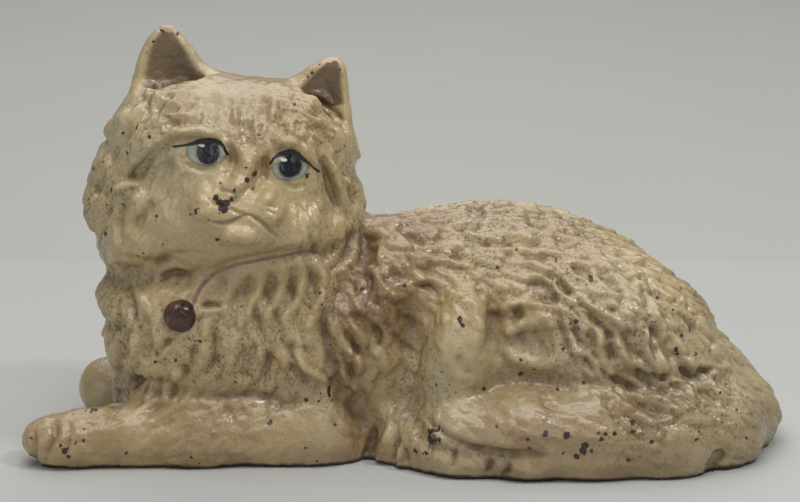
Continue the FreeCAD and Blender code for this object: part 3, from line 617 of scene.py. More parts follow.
class Clay:
    """A grid of signed distances in modelling millimetres, negative inside the figure."""

    def __init__(self, low, high, step):
        self.step = step
        self.low = np.array(low, float)
        count = np.ceil((np.array(high) - self.low) / step).astype(int) + 1
        self.field = np.full(count, 30.0, np.float32)

    def window(self, low, high):
        """The part of the grid between two corners: its slices and its X, Y and Z arrays."""
        first = np.floor((np.array(low) - self.low) / self.step).astype(int)
        last = np.ceil((np.array(high) - self.low) / self.step).astype(int) + 1
        first = np.maximum(first, 0)
        last = np.minimum(last, self.field.shape)
        axes = [
            (self.low[i] + self.step * np.arange(first[i], last[i])).astype(np.float32)
            for i in range(3)
        ]
        place = tuple(slice(a, b) for a, b in zip(first, last))
        return place, axes[0][:, None, None], axes[1][None, :, None], axes[2][None, None, :]

    def join(self, place, shape, blend):
        """Add a shape, with a fillet about as wide as blend."""
        old = self.field[place]
        share = np.clip(0.5 + 0.5 * (shape - old) / blend, 0.0, 1.0)
        self.field[place] = shape + (old - shape) * share - blend * share * (1.0 - share)

    def carve(self, place, shape, blend):
        """Cut a shape away, with the edge rounded by blend."""
        old, cut = self.field[place], -shape
        share = np.clip(0.5 - 0.5 * (cut - old) / blend, 0.0, 1.0)
        self.field[place] = cut + (old - cut) * share + blend * share * (1.0 - share)

    def lump(self, centre, sizes, blend, turns=(0, 0, 0), cut=False):
        """Add or cut an egg shape."""
        centre = np.array(centre, np.float32)
        reach = (max(sizes) if any(turns) else np.array(sizes)) + blend + 4.0
        place, x, y, z = self.window(centre - reach, centre + reach)
        x, y, z = x - centre[0], y - centre[1], z - centre[2]
        for angle, axis in zip(turns, "xyz"):
            c, s = math.cos(math.radians(angle)), math.sin(math.radians(angle))
            if axis == "x" and angle:
                y, z = c * y + s * z, c * z - s * y
            elif axis == "y" and angle:
                x, z = c * x - s * z, c * z + s * x
            elif angle:
                x, y = c * x + s * y, c * y - s * x
        a, b, c = sizes
        near = np.sqrt((x / a) ** 2 + (y / b) ** 2 + (z / c) ** 2) + 1e-6
        slope = np.sqrt((x / a**2) ** 2 + (y / b**2) ** 2 + (z / c**2) ** 2) + 1e-6
        shape = near * (near - 1.0) / slope
        (self.carve if cut else self.join)(place, shape, blend)

    def limb(self, start, start_radius, end, end_radius, blend):
        """Add a tapered rod with round ends."""
        a, b = np.array(start, np.float32), np.array(end, np.float32)
        reach = max(start_radius, end_radius) + blend + 4.0
        place, x, y, z = self.window(np.minimum(a, b) - reach, np.maximum(a, b) + reach)
        d = b - a
        t = ((x - a[0]) * d[0] + (y - a[1]) * d[1] + (z - a[2]) * d[2]) / float(d @ d)
        t = np.clip(t, 0.0, 1.0)
        gap = np.sqrt(
            (x - a[0] - t * d[0]) ** 2 + (y - a[1] - t * d[1]) ** 2 + (z - a[2] - t * d[2]) ** 2
        )
        self.join(place, gap - (start_radius + t * (end_radius - start_radius)), blend)

    def trunk(self, stations, blend):
        """Add the lofted trunk, an oval section that changes along X."""
        s = np.array(stations, float)
        place, x, y, z = self.window(self.low, (s[-1, 0] + 1, 70, 100))
        at = x[:, 0, 0]
        front, rear, under, back = (smooth_line(at, s[:, 0], s[:, i]) for i in (1, 2, 3, 4))
        mid_y, half_y = ((front + rear) / 2)[:, None, None], ((rear - front) / 2)[:, None, None]
        mid_z, half_z = ((under + back) / 2)[:, None, None], ((back - under) / 2)[:, None, None]
        power = 2.35
        near = np.abs((y - mid_y) / half_y) ** power + np.abs((z - mid_z) / half_z) ** power
        near = near ** (1.0 / power)
        shape = (near - 1.0) * np.minimum(half_y, half_z)
        ends = np.maximum(s[0, 0] - x, x - s[-1, 0])
        self.join(place, np.maximum(shape, ends).astype(np.float32), blend)

    def blade(self, stations, blend, cut=False):
        """Add or cut an upright tapering blade with oval level sections."""
        s = np.array(stations, float)
        reach = s[:, 3].max() + 8.0
        place, x, y, z = self.window(
            (s[:, 0].min() - reach, s[:, 1].min() - reach, s[0, 2] - 4),
            (s[:, 0].max() + reach, s[:, 1].max() + reach, s[-1, 2] + 6),
        )
        at = z[0, 0, :]
        mid_x, mid_y, half_x, half_y = (
            smooth_line(at, s[:, 2], s[:, i])[None, None, :] for i in (0, 1, 3, 4)
        )
        near = np.sqrt(((x - mid_x) / half_x) ** 2 + ((y - mid_y) / half_y) ** 2)
        shape = (near - 1.0) * np.minimum(half_x, half_y)
        ends = np.maximum(s[0, 2] - z, z - s[-1, 2])
        shape = np.maximum(shape, ends).astype(np.float32)
        (self.carve if cut else self.join)(place, shape, blend)

    def skin(self, level=0.0):
        """The surface at one distance: its points in millimetres and its four-cornered faces."""
        grid = openvdb.FloatGrid(30.0)
        grid.copyFromArray(self.field)
        points, quads = grid.convertToQuads(level)
        return points.astype(float) * self.step + self.low, quads.astype(np.int64)


def smooth_line(at, places, values):
    """A smooth curve through values at places, read at the points in at."""
    slopes = np.gradient(values, places)
    i = np.clip(np.searchsorted(places, at) - 1, 0, len(places) - 2)
    gap = places[i + 1] - places[i]
    t = np.clip((at - places[i]) / gap, 0.0, 1.0)
    t2, t3 = t * t, t * t * t
    return (
        (2 * t3 - 3 * t2 + 1) * values[i] + (t3 - 2 * t2 + t) * gap * slopes[i]
        + (3 * t2 - 2 * t3) * values[i + 1] + (t3 - t2) * gap * slopes[i + 1]
    )


def model_figure(step):
    """Build up the whole cat as one lump of clay."""
    clay = Clay((-142, -68, -2.4), (144, 58, 158), step)
    clay.trunk(TRUNK, 1.0)
    for start, start_radius, end, end_radius, blend in LIMBS:
        clay.limb(start, start_radius, end, end_radius, blend)
    for table in (CHEST, HAUNCH, PAWS, HEAD, MUZZLE):
        for centre, sizes, blend, turns in table:
            clay.lump(centre, sizes, blend, turns)
    for (start, start_radius), (end, end_radius) in zip(TAIL, TAIL[1:]):
        clay.limb(start, start_radius, end, end_radius, 6)
    for ear, hollow in zip(EARS, HOLLOWS):
        clay.blade(ear, 5.0)
        clay.blade(hollow, 3.0, cut=True)
    clay.lump(BELL, (BELL_RADIUS,) * 3, 0.8)
    height = clay.window(clay.low, (200, 200, 200))[3]
    clay.field = np.maximum(clay.field, -height)
    return clay


# ---------------------------------------------------------------------------------------------
# Skins: points and triangles as arrays
# ---------------------------------------------------------------------------------------------

def outward(points, faces):
    """The faces, turned so that their normals look out of the solid."""
    a, b, c = (points[faces[:, i]] for i in range(3))
    volume = np.einsum("ij,ij->", np.cross(b - a, c - a), a)
    return faces if volume > 0 else faces[:, ::-1].copy()


def mesh_points(mesh):
    """The points of a mesh as an array."""
    flat = np.empty(len(mesh.vertices) * 3)
    mesh.vertices.foreach_get("co", flat)
    return flat.reshape(-1, 3)


def point_normals(points, triangles):
    """Unit normals at the points."""
    a, b, c = (points[triangles[:, i]] for i in range(3))
    sides = np.cross(b - a, c - a)
    total = np.zeros_like(points)
    for corner in range(3):
        for axis in range(3):
            total[:, axis] += np.bincount(triangles[:, corner], sides[:, axis], len(points))
    return total / (np.linalg.norm(total, axis=1, keepdims=True) + 1e-9)


def edge_pairs(triangles):
    """Each pair of points that share an edge, both ways round."""
    pairs = np.concatenate([triangles[:, [0, 1]], triangles[:, [1, 2]], triangles[:, [2, 0]]])
    return np.concatenate([pairs, pairs[:, ::-1]])


def average(values, pairs, rounds, strength=0.5):
    """Smooth values over the surface."""
    size = len(values)
    count = np.maximum(np.bincount(pairs[:, 0], minlength=size), 1)
    flat = values.reshape(size, -1).copy()
    for _ in range(rounds):
        for axis in range(flat.shape[1]):
            mean = np.bincount(pairs[:, 0], flat[pairs[:, 1], axis], size) / count
            flat[:, axis] += strength * (mean - flat[:, axis])
    return flat.reshape(values.shape)


def refined_triangles(points, quads, fine):
    """Triangles for the skin, with the four-cornered faces that fine marks split into four."""
    mesh = bpy.data.meshes.new("skin")
    mesh.from_pydata(points, [], quads)
    work = bmesh.new()
    work.from_mesh(mesh)
    work.faces.ensure_lookup_table()
    chosen = {edge for i in np.nonzero(fine)[0] for edge in work.faces[i].edges}
    bmesh.ops.subdivide_edges(work, edges=list(chosen), cuts=1, use_grid_fill=True)
    bmesh.ops.triangulate(work, faces=work.faces)
    work.to_mesh(mesh)
    work.free()
    result = mesh_points(mesh)
    triangles = np.empty(len(mesh.loops), np.int32)
    mesh.loops.foreach_get("vertex_index", triangles)
    bpy.data.meshes.remove(mesh)
    return result, triangles.reshape(-1, 3).astype(np.int64)


# ---------------------------------------------------------------------------------------------
# Relief: tool strokes, locks of hair and the lumps of a hand-finished pattern
# ---------------------------------------------------------------------------------------------

def smooth_path(path, spacing):
    """Points close together along a smooth curve through a path."""
    path = np.array(path, float)
    steps = np.linalg.norm(np.diff(path, axis=0), axis=1)
    along = np.concatenate([[0.0], np.cumsum(steps)])
    at = np.linspace(0.0, along[-1], max(int(along[-1] / spacing) + 1, 3))
    return np.stack([smooth_line(at, along, path[:, i]) for i in range(path.shape[1])], axis=1)


def path_gap(x, z, path):
    """Distance from points to a path of (x, z) points, and how far along it each is, 0 to 1."""
    best = np.full(len(x), 1e9)
    along = np.zeros(len(x))
    count = len(path) - 1
    for i in range(count):
        (ax, az), (bx, bz) = path[i], path[i + 1]
        dx, dz = bx - ax, bz - az
        t = np.clip(((x - ax) * dx + (z - az) * dz) / (dx * dx + dz * dz + 1e-9), 0.0, 1.0)
        gap = np.hypot(x - ax - t * dx, z - az - t * dz)
        closer = gap < best
        best[closer] = gap[closer]
        along[closer] = (i + t[closer]) / count
    return best, along


def stroke_relief(points, normals, strokes, depth):
    """Height of a set of hand strokes at the points of the face side."""
    relief = np.zeros(len(points))
    front = np.nonzero((normals[:, 1] < 0.3) & (points[:, 1] < 4.0))[0]
    x, z = points[front, 0], points[front, 2]
    for width, height, path in strokes:
        path = smooth_path(path, 1.6)
        half = 0.64 * width
        low, high = path.min(0) - half, path.max(0) + half
        near = np.nonzero((x > low[0]) & (x < high[0]) & (z > low[1]) & (z < high[1]))[0]
        gap, along = path_gap(x[near], z[near], path)
        taper = ease(along, -0.1, 0.25) * ease(1.0 - along, -0.1, 0.3)
        half = half * (0.55 + 0.45 * taper)
        shape = np.clip(1.0 - (gap / half) ** 2, 0.0, 1.0) ** 1.5
        relief[front[near]] += depth * height * taper * shape
    return relief


def fold_figure(points, triangles):
    """Press the broad folds into the plain form."""
    pairs = edge_pairs(triangles)
    normals = average(point_normals(points, triangles), pairs, 12)
    normals /= np.linalg.norm(normals, axis=1, keepdims=True)
    relief = stroke_relief(points, normals, FOLDS, 1.0)
    relief += 0.9 * lumpy(points, 15.0, 3) * ease(14.0 - points[:, 2], 0.0, 10.0)
    relief = average(relief, pairs, 6)
    relief[normals[:, 2] < -0.9] = 0.0
    folded = points + normals * relief[:, None]
    folded[:, 2] = np.maximum(folded[:, 2], 0.0)
    return folded


class Neighbours:
    """Finds the points near a place, by cells of equal size."""

    def __init__(self, points, cell):
        self.cell = cell
        self.low = points.min(0) - cell
        cells = ((points - self.low) / cell).astype(np.int64)
        self.count = cells.max(0) + 2
        key = (cells[:, 0] * self.count[1] + cells[:, 1]) * self.count[2] + cells[:, 2]
        self.order = np.argsort(key, kind="stable")
        self.start = np.searchsorted(key[self.order], np.arange(self.count.prod() + 1))

    def near(self, place, reach):
        """Indices of the points in the cells within reach of a place."""
        low = np.maximum(((place - reach - self.low) / self.cell).astype(int), 0)
        high = np.minimum(((place + reach - self.low) / self.cell).astype(int), self.count - 1)
        found = []
        for i in range(low[0], high[0] + 1):
            for j in range(low[1], high[1] + 1):
                row = (i * self.count[1] + j) * self.count[2]
                a, b = self.start[row + low[2]], self.start[row + high[2] + 1]
                if b > a:
                    found.append(self.order[a:b])
        return np.concatenate(found) if found else np.empty(0, np.int64)


def coat_at(points, normals):
    """Direction of the hair at each point, and the height, length and width of its locks."""
    places = np.array([row[0] for row in COAT], float)
    lies = np.array([row[1] for row in COAT], float)
    lies /= np.linalg.norm(lies, axis=1, keepdims=True)
    sizes = np.array([row[2:] for row in COAT], float)
    flow, locks = np.zeros_like(points), np.zeros_like(points)
    weights = np.zeros(len(points))
    for place, lie, size in zip(places, lies, sizes):
        weight = 1.0 / (((points - place) ** 2).sum(1) + 30.0) ** 2.2
        flow += weight[:, None] * lie
        locks += weight[:, None] * size
        weights += weight
    flow -= (flow * normals).sum(1, keepdims=True) * normals
    flow /= np.linalg.norm(flow, axis=1, keepdims=True) + 1e-12
    return flow, locks / weights[:, None]


def lumpy(points, size, seed):
    """Soft random heights between -1 and 1, with lumps of about the given size."""
    rng = np.random.default_rng(seed)
    lattice = rng.uniform(-1.0, 1.0, (64, 64, 64))
    at = points / size + 1000.0
    cell = np.floor(at).astype(int)
    t = ease(at - cell, 0.0, 1.0)
    total = np.zeros(len(points))
    for i in (0, 1):
        for j in (0, 1):
            for k in (0, 1):
                corner = (cell + (i, j, k)) % 64
                weight = (
                    np.where(i, t[:, 0], 1 - t[:, 0]) * np.where(j, t[:, 1], 1 - t[:, 1])
                    * np.where(k, t[:, 2], 1 - t[:, 2])
                )
                total += weight * lattice[corner[:, 0], corner[:, 1], corner[:, 2]]
    return total


def crowded(place, lie, others, length, width):
    """Whether any other place lies inside the oval that a lock keeps clear."""
    for other in others:
        gap = other - place
        along = gap @ lie
        across = gap @ gap - along * along
        if (along / length) ** 2 + across / width**2 < 1.0:
            return True
    return False


def scatter(points, flow, locks, rng):
    """Choose places for locks that keep apart, further along the hair than across it."""
    chosen, cells = [], {}
    cell = 6.0
    keys = np.floor(points / cell).astype(int)
    around = list(itertools.product((-2, -1, 0, 1, 2), repeat=3))
    for i in rng.choice(len(points), LOCK_TRIES, replace=False):
        height, length, width = locks[i]
        if height < LEAST_LOCK:
            continue
        x, y, z = keys[i]
        others = (points[j] for a, b, c in around for j in cells.get((x + a, y + b, z + c), ()))
        if not crowded(points[i], flow[i], others, LOCK_SPREAD * length, LOCK_SPREAD * width):
            chosen.append(i)
            cells.setdefault((x, y, z), []).append(i)
    return chosen


def lock_relief(points, normals, flow, locks, near, depth, rng):
    """Height of the overlapping locks: each rises from its root to a tip that stands clear."""
    relief = np.zeros(len(points))
    for i in scatter(points, flow, locks, rng):
        height, length, width = locks[i]
        length *= rng.uniform(0.8, 1.25)
        width *= rng.uniform(0.8, 1.2)
        height *= rng.uniform(0.7, 1.3)
        bend = rng.uniform(-0.35, 0.35)
        turn = rng.uniform(-0.22, 0.22)
        across = np.cross(normals[i], flow[i])
        lie = flow[i] * math.cos(turn) + across * math.sin(turn)
        across = np.cross(normals[i], lie)
        found = near.near(points[i], 0.62 * length)
        gap = points[found] - points[i]
        t = gap @ lie / length + 0.5
        side = gap @ across + bend * length * (t - 0.5) ** 2
        half = 0.5 * width * np.where(
            t < 0.55, 0.6 + 0.4 * ease(t, 0.0, 0.55),
            np.sqrt(np.clip(1.0 - ((t - 0.55) / 0.45) ** 2, 0.0, 1.0)),
        ) + 1e-6
        inside = (t > 0) & (t < 1) & (np.abs(side) < half) & (np.abs(gap @ normals[i]) < 5.0)
        found, t, side, half = found[inside], t[inside], side[inside], half[inside]
        rise = depth * height * (0.2 + 0.8 * t**1.2) * ease(t, 0.0, 0.3)
        rise *= (1.0 - (side / half) ** 2) ** 0.7
        relief[found] = np.maximum(relief[found], rise)
    return relief


def strand_relief(points, normals, flow, locks, near, rng):
    """Fine grooves that follow the hair."""
    relief = np.zeros(len(points))
    for i in rng.choice(len(points), STRANDS, replace=False):
        height = locks[i, 0]
        if height < 0.1:
            continue
        length, width = rng.uniform(5.0, 10.0), rng.uniform(0.9, 1.7)
        across = np.cross(normals[i], flow[i])
        found = near.near(points[i], length * 0.5)
        gap = points[found] - points[i]
        along, side = gap @ flow[i] / (0.5 * length), gap @ across / width
        shape = np.clip(1.0 - along**2, 0, 1) ** 2 * np.clip(1.0 - side**2, 0, 1) ** 2
        shape *= np.abs(gap @ normals[i]) < 4.0
        relief[found] += rng.choice((-1.0, 1.0)) * rng.uniform(0.5, 1.0) * min(height, 0.8) * shape
    return relief


def carve_figure(points, triangles, lock_depth, stroke_depth):
    """Raise the coat and the hand strokes on the plain form."""
    rng = np.random.default_rng(7)
    pairs = edge_pairs(triangles)
    normals = average(point_normals(points, triangles), pairs, 4)
    normals /= np.linalg.norm(normals, axis=1, keepdims=True)
    flow, locks = coat_at(points, normals)
    near = Neighbours(points, 4.0)
    relief = lock_relief(points, normals, flow, locks, near, lock_depth, rng) - SETTLE * locks[:, 0]
    relief += STRAND_HEIGHT * strand_relief(points, normals, flow, locks, near, rng)
    relief = average(relief, pairs, 1)
    strokes = itertools.chain(*STROKES.values())
    relief += stroke_relief(points, normals, strokes, stroke_depth)
    relief += 0.22 * lumpy(points, 9.0, 1) + 0.08 * lumpy(points, 3.5, 2)
    relief -= 0.45 * np.exp(-((points[:, 1] / 0.7) ** 2)) * (points[:, 2] > 0.4)
    relief = np.clip(average(relief, pairs, 1), -DEEPEST_MARK, 2.0 * DEEPEST_MARK)
    on_base = normals[:, 2] < -0.9
    relief[on_base] = 0.0
    carved = points + normals * relief[:, None]
    carved[:, 2] = np.maximum(carved[:, 2], 0.0)
    return carved


def hollowness(points, triangles, rounds):
    """How far each point lies below the smoothed surface around it, in millimetres."""
    pairs = edge_pairs(triangles)
    smooth = average(points, pairs, rounds)
    return ((smooth - points) * point_normals(smooth, triangles)).sum(1)


# ---------------------------------------------------------------------------------------------
# Castings: two hollow shells with posts, dowels, bores and the coin slot
# ---------------------------------------------------------------------------------------------

def add_object(name, data):
    """A new object in the scene."""
    obj = bpy.data.objects.new(name, data)
    bpy.context.scene.collection.objects.link(obj)
    return obj


def solid(name, points, faces):
    """A closed solid in the bare iron slot, with its normals looking out."""
    mesh = array_mesh(name, points, faces, INSIDE)
    work = bmesh.new()
    work.from_mesh(mesh)
    bmesh.ops.recalc_face_normals(work, faces=work.faces)
    work.to_mesh(mesh)
    work.free()
    return add_object(name, mesh)


def tube_faces(rings, sides):
    """Faces of a solid made of rings of points, with both ends closed."""
    faces = []
    for ring in range(rings - 1):
        low, high = ring * sides, (ring + 1) * sides
        for i in range(sides):
            j = (i + 1) % sides
            faces.append((low + i, low + j, high + j, high + i))
    faces.append(tuple(range(sides))[::-1])
    faces.append(tuple(range((rings - 1) * sides, rings * sides)))
    return faces


def array_mesh(name, points, faces, slot):
    """A mesh in modelling millimetres with one material slot number on every face."""
    mesh = bpy.data.meshes.new(name)
    mesh.from_pydata(points, [], faces)
    mesh.polygons.foreach_set("material_index", np.full(len(faces), slot, np.int32))
    return mesh


def offset_skin(points, triangles, depth, step):
    """The skin at a depth inside a closed surface."""
    shape = openvdb.createLinearTransform(voxelSize=step)
    grid = openvdb.FloatGrid.createLevelSetFromPolygons(
        points.astype(np.float32), triangles=triangles.astype(np.uint32), transform=shape,
        halfWidth=depth / step + 2.0,
    )
    inner, quads = grid.convertToQuads(-depth)
    return inner.astype(float), outward(inner.astype(float), quads.astype(np.int64))


def half_shell(name, outer, inner, side, materials):
    """Cut the outer and inner skins at the parting plane, keep one side and close the rim."""
    work = bmesh.new()
    work.from_mesh(outer)
    work.from_mesh(inner)
    geometry = work.verts[:] + work.edges[:] + work.faces[:]
    cut = bmesh.ops.bisect_plane(
        work, geom=geometry, dist=1e-4, plane_co=(0, 0, 0), plane_no=(0, -side, 0), clear_outer=True
    )
    rim = [item for item in cut["geom_cut"] if isinstance(item, bmesh.types.BMEdge)]
    rim = [edge for edge in rim if edge.is_boundary]
    filled = bmesh.ops.triangle_fill(work, edges=rim, use_beauty=True, normal=(0, -side, 0))
    for item in filled["geom"]:
        if isinstance(item, bmesh.types.BMFace):
            item.material_index = INSIDE
    bmesh.ops.recalc_face_normals(work, faces=work.faces)
    mesh = bpy.data.meshes.new(name)
    for material in materials:
        mesh.materials.append(material)
    work.to_mesh(mesh)
    work.free()
    return add_object(name, mesh)


def turned_bar(name, axis, rings, sides=48):
    """A solid turned about an axis along Y: rings are (y, radius)."""
    x, z = axis
    angles = 2 * np.pi * np.arange(sides) / sides
    points = [(x + r * math.cos(a), y, z + r * math.sin(a)) for y, r in rings for a in angles]
    return solid(name, points, tube_faces(len(rings), sides))


def combine(target, tool, operation, keep_tool=False):
    """Apply a boolean of tool to target, with the slower solver where the quick one fails."""
    change = target.modifiers.new(operation, "BOOLEAN")
    change.operation = operation
    change.object = tool
    before = len(target.data.polygons)
    for solver in ("MANIFOLD", "EXACT"):
        change.solver = solver
        ready = target.evaluated_get(bpy.context.evaluated_depsgraph_get())
        mesh = bpy.data.meshes.new_from_object(ready)
        if len(mesh.polygons) not in (0, before):
            break
    if len(mesh.polygons) == 0:
        raise RuntimeError(f"{operation} of {tool.name} left nothing of {target.name}")
    old = target.data
    target.modifiers.clear()
    target.data = mesh
    bpy.data.meshes.remove(old)
    if not keep_tool:
        bpy.data.objects.remove(tool)


def screw_axis(name):
    """A screw's (x, z) axis, the y of its tip, the y of its seat and the radius of its head."""
    low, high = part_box(name)
    low, high = (np.array(low) - ORIGIN) / MM, (np.array(high) - ORIGIN) / MM
    middle = (low + high) / 2
    return (middle[0], middle[2]), low[1], high[1] - SCREW_HEAD_HIGH, (high[0] - low[0]) / 2


def slot_cutter():
    """The coin slot's cutter, a flat bar with round ends standing over the chamber."""
    opening = next(o for o in frame["record"]["physics"]["openings"] if o["name"] == "coin_slot")
    low, high = ((np.array(corner) - ORIGIN) / MM for corner in opening["box_m"])
    middle = (low + high) / 2
    reach, radius = SLOT_LONG / 2 - SLOT_WIDE / 2, SLOT_WIDE / 2
    outline = []
    for centre, start in ((reach, -90), (-reach, 90)):
        for turn in range(0, 181, 15):
            a = math.radians(start + turn)
            outline.append((
                middle[0] + centre + radius * math.cos(a), middle[1] + radius * math.sin(a),
            ))
    points = [(x, y, z) for z in SLOT_CUT for x, y in outline]
    return solid("slot", points, tube_faces(len(SLOT_CUT), len(outline)))


def machine_casting(obj, side, core):
    """Add the posts, pads and dowels to a shell, then cut its bores, sockets and slot."""
    reach = 60.0 * side
    for name in SCREWS:
        axis, _, _, _ = screw_axis(name)
        radius = FRONT_POST if side < 0 else REAR_POST
        post = turned_bar("post", axis, ((0.0, radius), (4 * side, radius), (reach, radius * 1.12)))
        combine(post, core, "INTERSECT", keep_tool=True)
        combine(obj, post, "UNION")
    for axis in DOWELS:
        pad = turned_bar("pad", axis, ((0.0, DOWEL_PAD), (9.0 * side, DOWEL_PAD * 1.1)))
        combine(pad, core, "INTERSECT", keep_tool=True)
        combine(obj, pad, "UNION")
        if side < 0:
            r = DOWEL_RADIUS
            rings = (
                (-4.0, r), (DOWEL_LONG - 0.8, r), (DOWEL_LONG - 0.3, r - 0.4), (DOWEL_LONG, r - 0.8),
            )
            combine(obj, turned_bar("dowel", axis, rings), "UNION")
        else:
            r = DOWEL_RADIUS + SOCKET_CLEARANCE
            rings = ((-1.0, r + 1.2), (0.5, r), (DOWEL_LONG + 0.6, r))
            combine(obj, turned_bar("socket", axis, rings), "DIFFERENCE")
    for name in SCREWS:
        axis, _, seat, head = screw_axis(name)
        if side < 0:
            r = TAPPED_RADIUS
            rings = ((1.0, r + 1.0), (-0.8, r), (-TAPPED_DEPTH, r), (-TAPPED_DEPTH - 1.8, 0.2))
            combine(obj, turned_bar("tapped_hole", axis, rings), "DIFFERENCE")
        else:
            r, wide = CLEAR_RADIUS, head + COUNTERBORE_CLEARANCE
            rings = ((-1.0, r), (seat, r), (seat + 0.02, wide), (60.0, wide))
            combine(obj, turned_bar("counterbore", axis, rings), "DIFFERENCE")
    if side > 0:
        combine(obj, slot_cutter(), "DIFFERENCE")


# ---------------------------------------------------------------------------------------------
# Paint marks: distances to the painted features, kept as values at the points
# ---------------------------------------------------------------------------------------------

def store(mesh, name, values):
    """Keep one value at each point of a mesh, for its material to read."""
    layer = mesh.attributes.get(name) or mesh.attributes.new(name, "FLOAT", "POINT")
    layer.data.foreach_set("value", np.asarray(values, np.float32))


def keep_gap(mesh, name, gap):
    """Keep distances to a paint mark at the points."""
    store(mesh, name, np.clip(gap, -MARK_LIMIT, MARK_LIMIT))


def line_gap(x, z, chosen, path, spacing, half_width):
    """Distance to a painted line, for the chosen points only: half_width takes the way along it."""
    result = np.full(len(x), FAR)
    gap, along = path_gap(x[chosen], z[chosen], smooth_path(path, spacing))
    result[chosen] = gap - half_width(along)
    return result


def lash_width(along):
    return LASH_WIDTH * (0.4 + 0.75 * np.sin(np.pi * ease(along, 0.15, 1.0)))


def mouth_width(along):
    return 0.38 * (0.4 + 0.6 * ease(along, 0, 0.15) * ease(1 - along, 0, 0.25))


def ribbon_width(along):
    return 0.8 * (1.0 - 0.45 * along)


def mark_eyes(mesh, x, y, z, face):
    """Store the distances to the eyeballs, pupils, glints and lashes."""
    away = np.where(y < -6.0, 0.0, FAR)
    ball = pupil = glint = lash = np.full(len(x), FAR)
    for eye in EYES:
        cx, cz, rx, rz = eye["ball"]
        ball = np.minimum(ball, (np.hypot((x - cx) / rx, (z - cz) / rz) - 1) * min(rx, rz))
        cx, cz, r = eye["pupil"]
        pupil = np.minimum(pupil, np.hypot(x - cx, z - cz) - r)
        cx, cz, r = eye["glint"]
        glint = np.minimum(glint, np.hypot((x - cx) * 0.8 + (z - cz) * 0.5, (z - cz) * 1.3) - r)
        lash = np.minimum(lash, line_gap(x, z, face, eye["lash"], 0.5, lash_width))
        path = smooth_path(eye["lash"], 0.5)
        under = np.interp(x, path[:, 0], path[:, 1])
        ball = np.maximum(ball, np.where(np.abs(x - eye["ball"][0]) < 9, z - under, -FAR))
    for name, gap in (("ball", ball), ("pupil", pupil), ("glint", glint), ("lash", lash)):
        keep_gap(mesh, name, gap + away)


def mark_features(mesh):
    """Store how far each point is from each paint mark in mm, and how much dirt and painted shade lies on
    it.
    """
    x, y, z = mesh_points(mesh).T
    face = np.nonzero((np.abs(x + 52) < 34) & (np.abs(z - 105) < 26) & (y < -20))[0]
    chest = np.nonzero((x < -18) & (z > 50) & (z < 84) & (y < -20))[0]
    mark_eyes(mesh, x, y, z, face)
    keep_gap(mesh, "mouth", line_gap(x, z, face, MOUTH, 0.6, mouth_width))
    keep_gap(mesh, "ribbon", line_gap(x, z, chest, RIBBON, 1.0, ribbon_width))
    bell = np.hypot(x - BELL[0], z - BELL[2]) - BELL_RADIUS - 0.1
    keep_gap(mesh, "bell", np.where(y < -30.0, bell, FAR))
    ear = np.full(len(x), FAR)
    for hollow in HOLLOWS:
        s = np.array(hollow)
        cx, cy, hx, hy = (smooth_line(z, s[:, 2], s[:, i]) for i in (0, 1, 3, 4))
        near = (np.hypot((x - cx) / hx, (y - cy) / hy) - 1) * hx
        near = np.where((z > s[0, 2] - 2) & (z < s[-1, 2]), near, FAR)
        near += 1.1 * np.clip(s[0, 2] + 15.0 - z, 0.0, 10.0)
        ear = np.minimum(ear, near)
    keep_gap(mesh, "ear", ear + np.where(y < -1.0, 0.0, FAR))
    soil = np.zeros(len(x))
    for cx, cz, reach, share in SOIL_AND_SHADE:
        edge = ease(np.hypot(x - cx, z - cz), 0.3 * reach, 1.3 * reach)
        soil = np.maximum(soil, share * (1.0 - edge))
    store(mesh, "soil", soil * (1.0 - ease(y, 0.0, 10.0)))
    chip = np.full(len(x), FAR)
    for cx, cz, r in itertools.chain(*CHIPS.values()):
        near = np.nonzero((np.abs(x - cx) < 5) & (np.abs(z - cz) < 5) & (y < 2))[0]
        chip[near] = np.minimum(chip[near], np.hypot(x[near] - cx, z[near] - cz) - r)
    keep_gap(mesh, "chip", chip)


# ---------------------------------------------------------------------------------------------
# Materials
# ---------------------------------------------------------------------------------------------

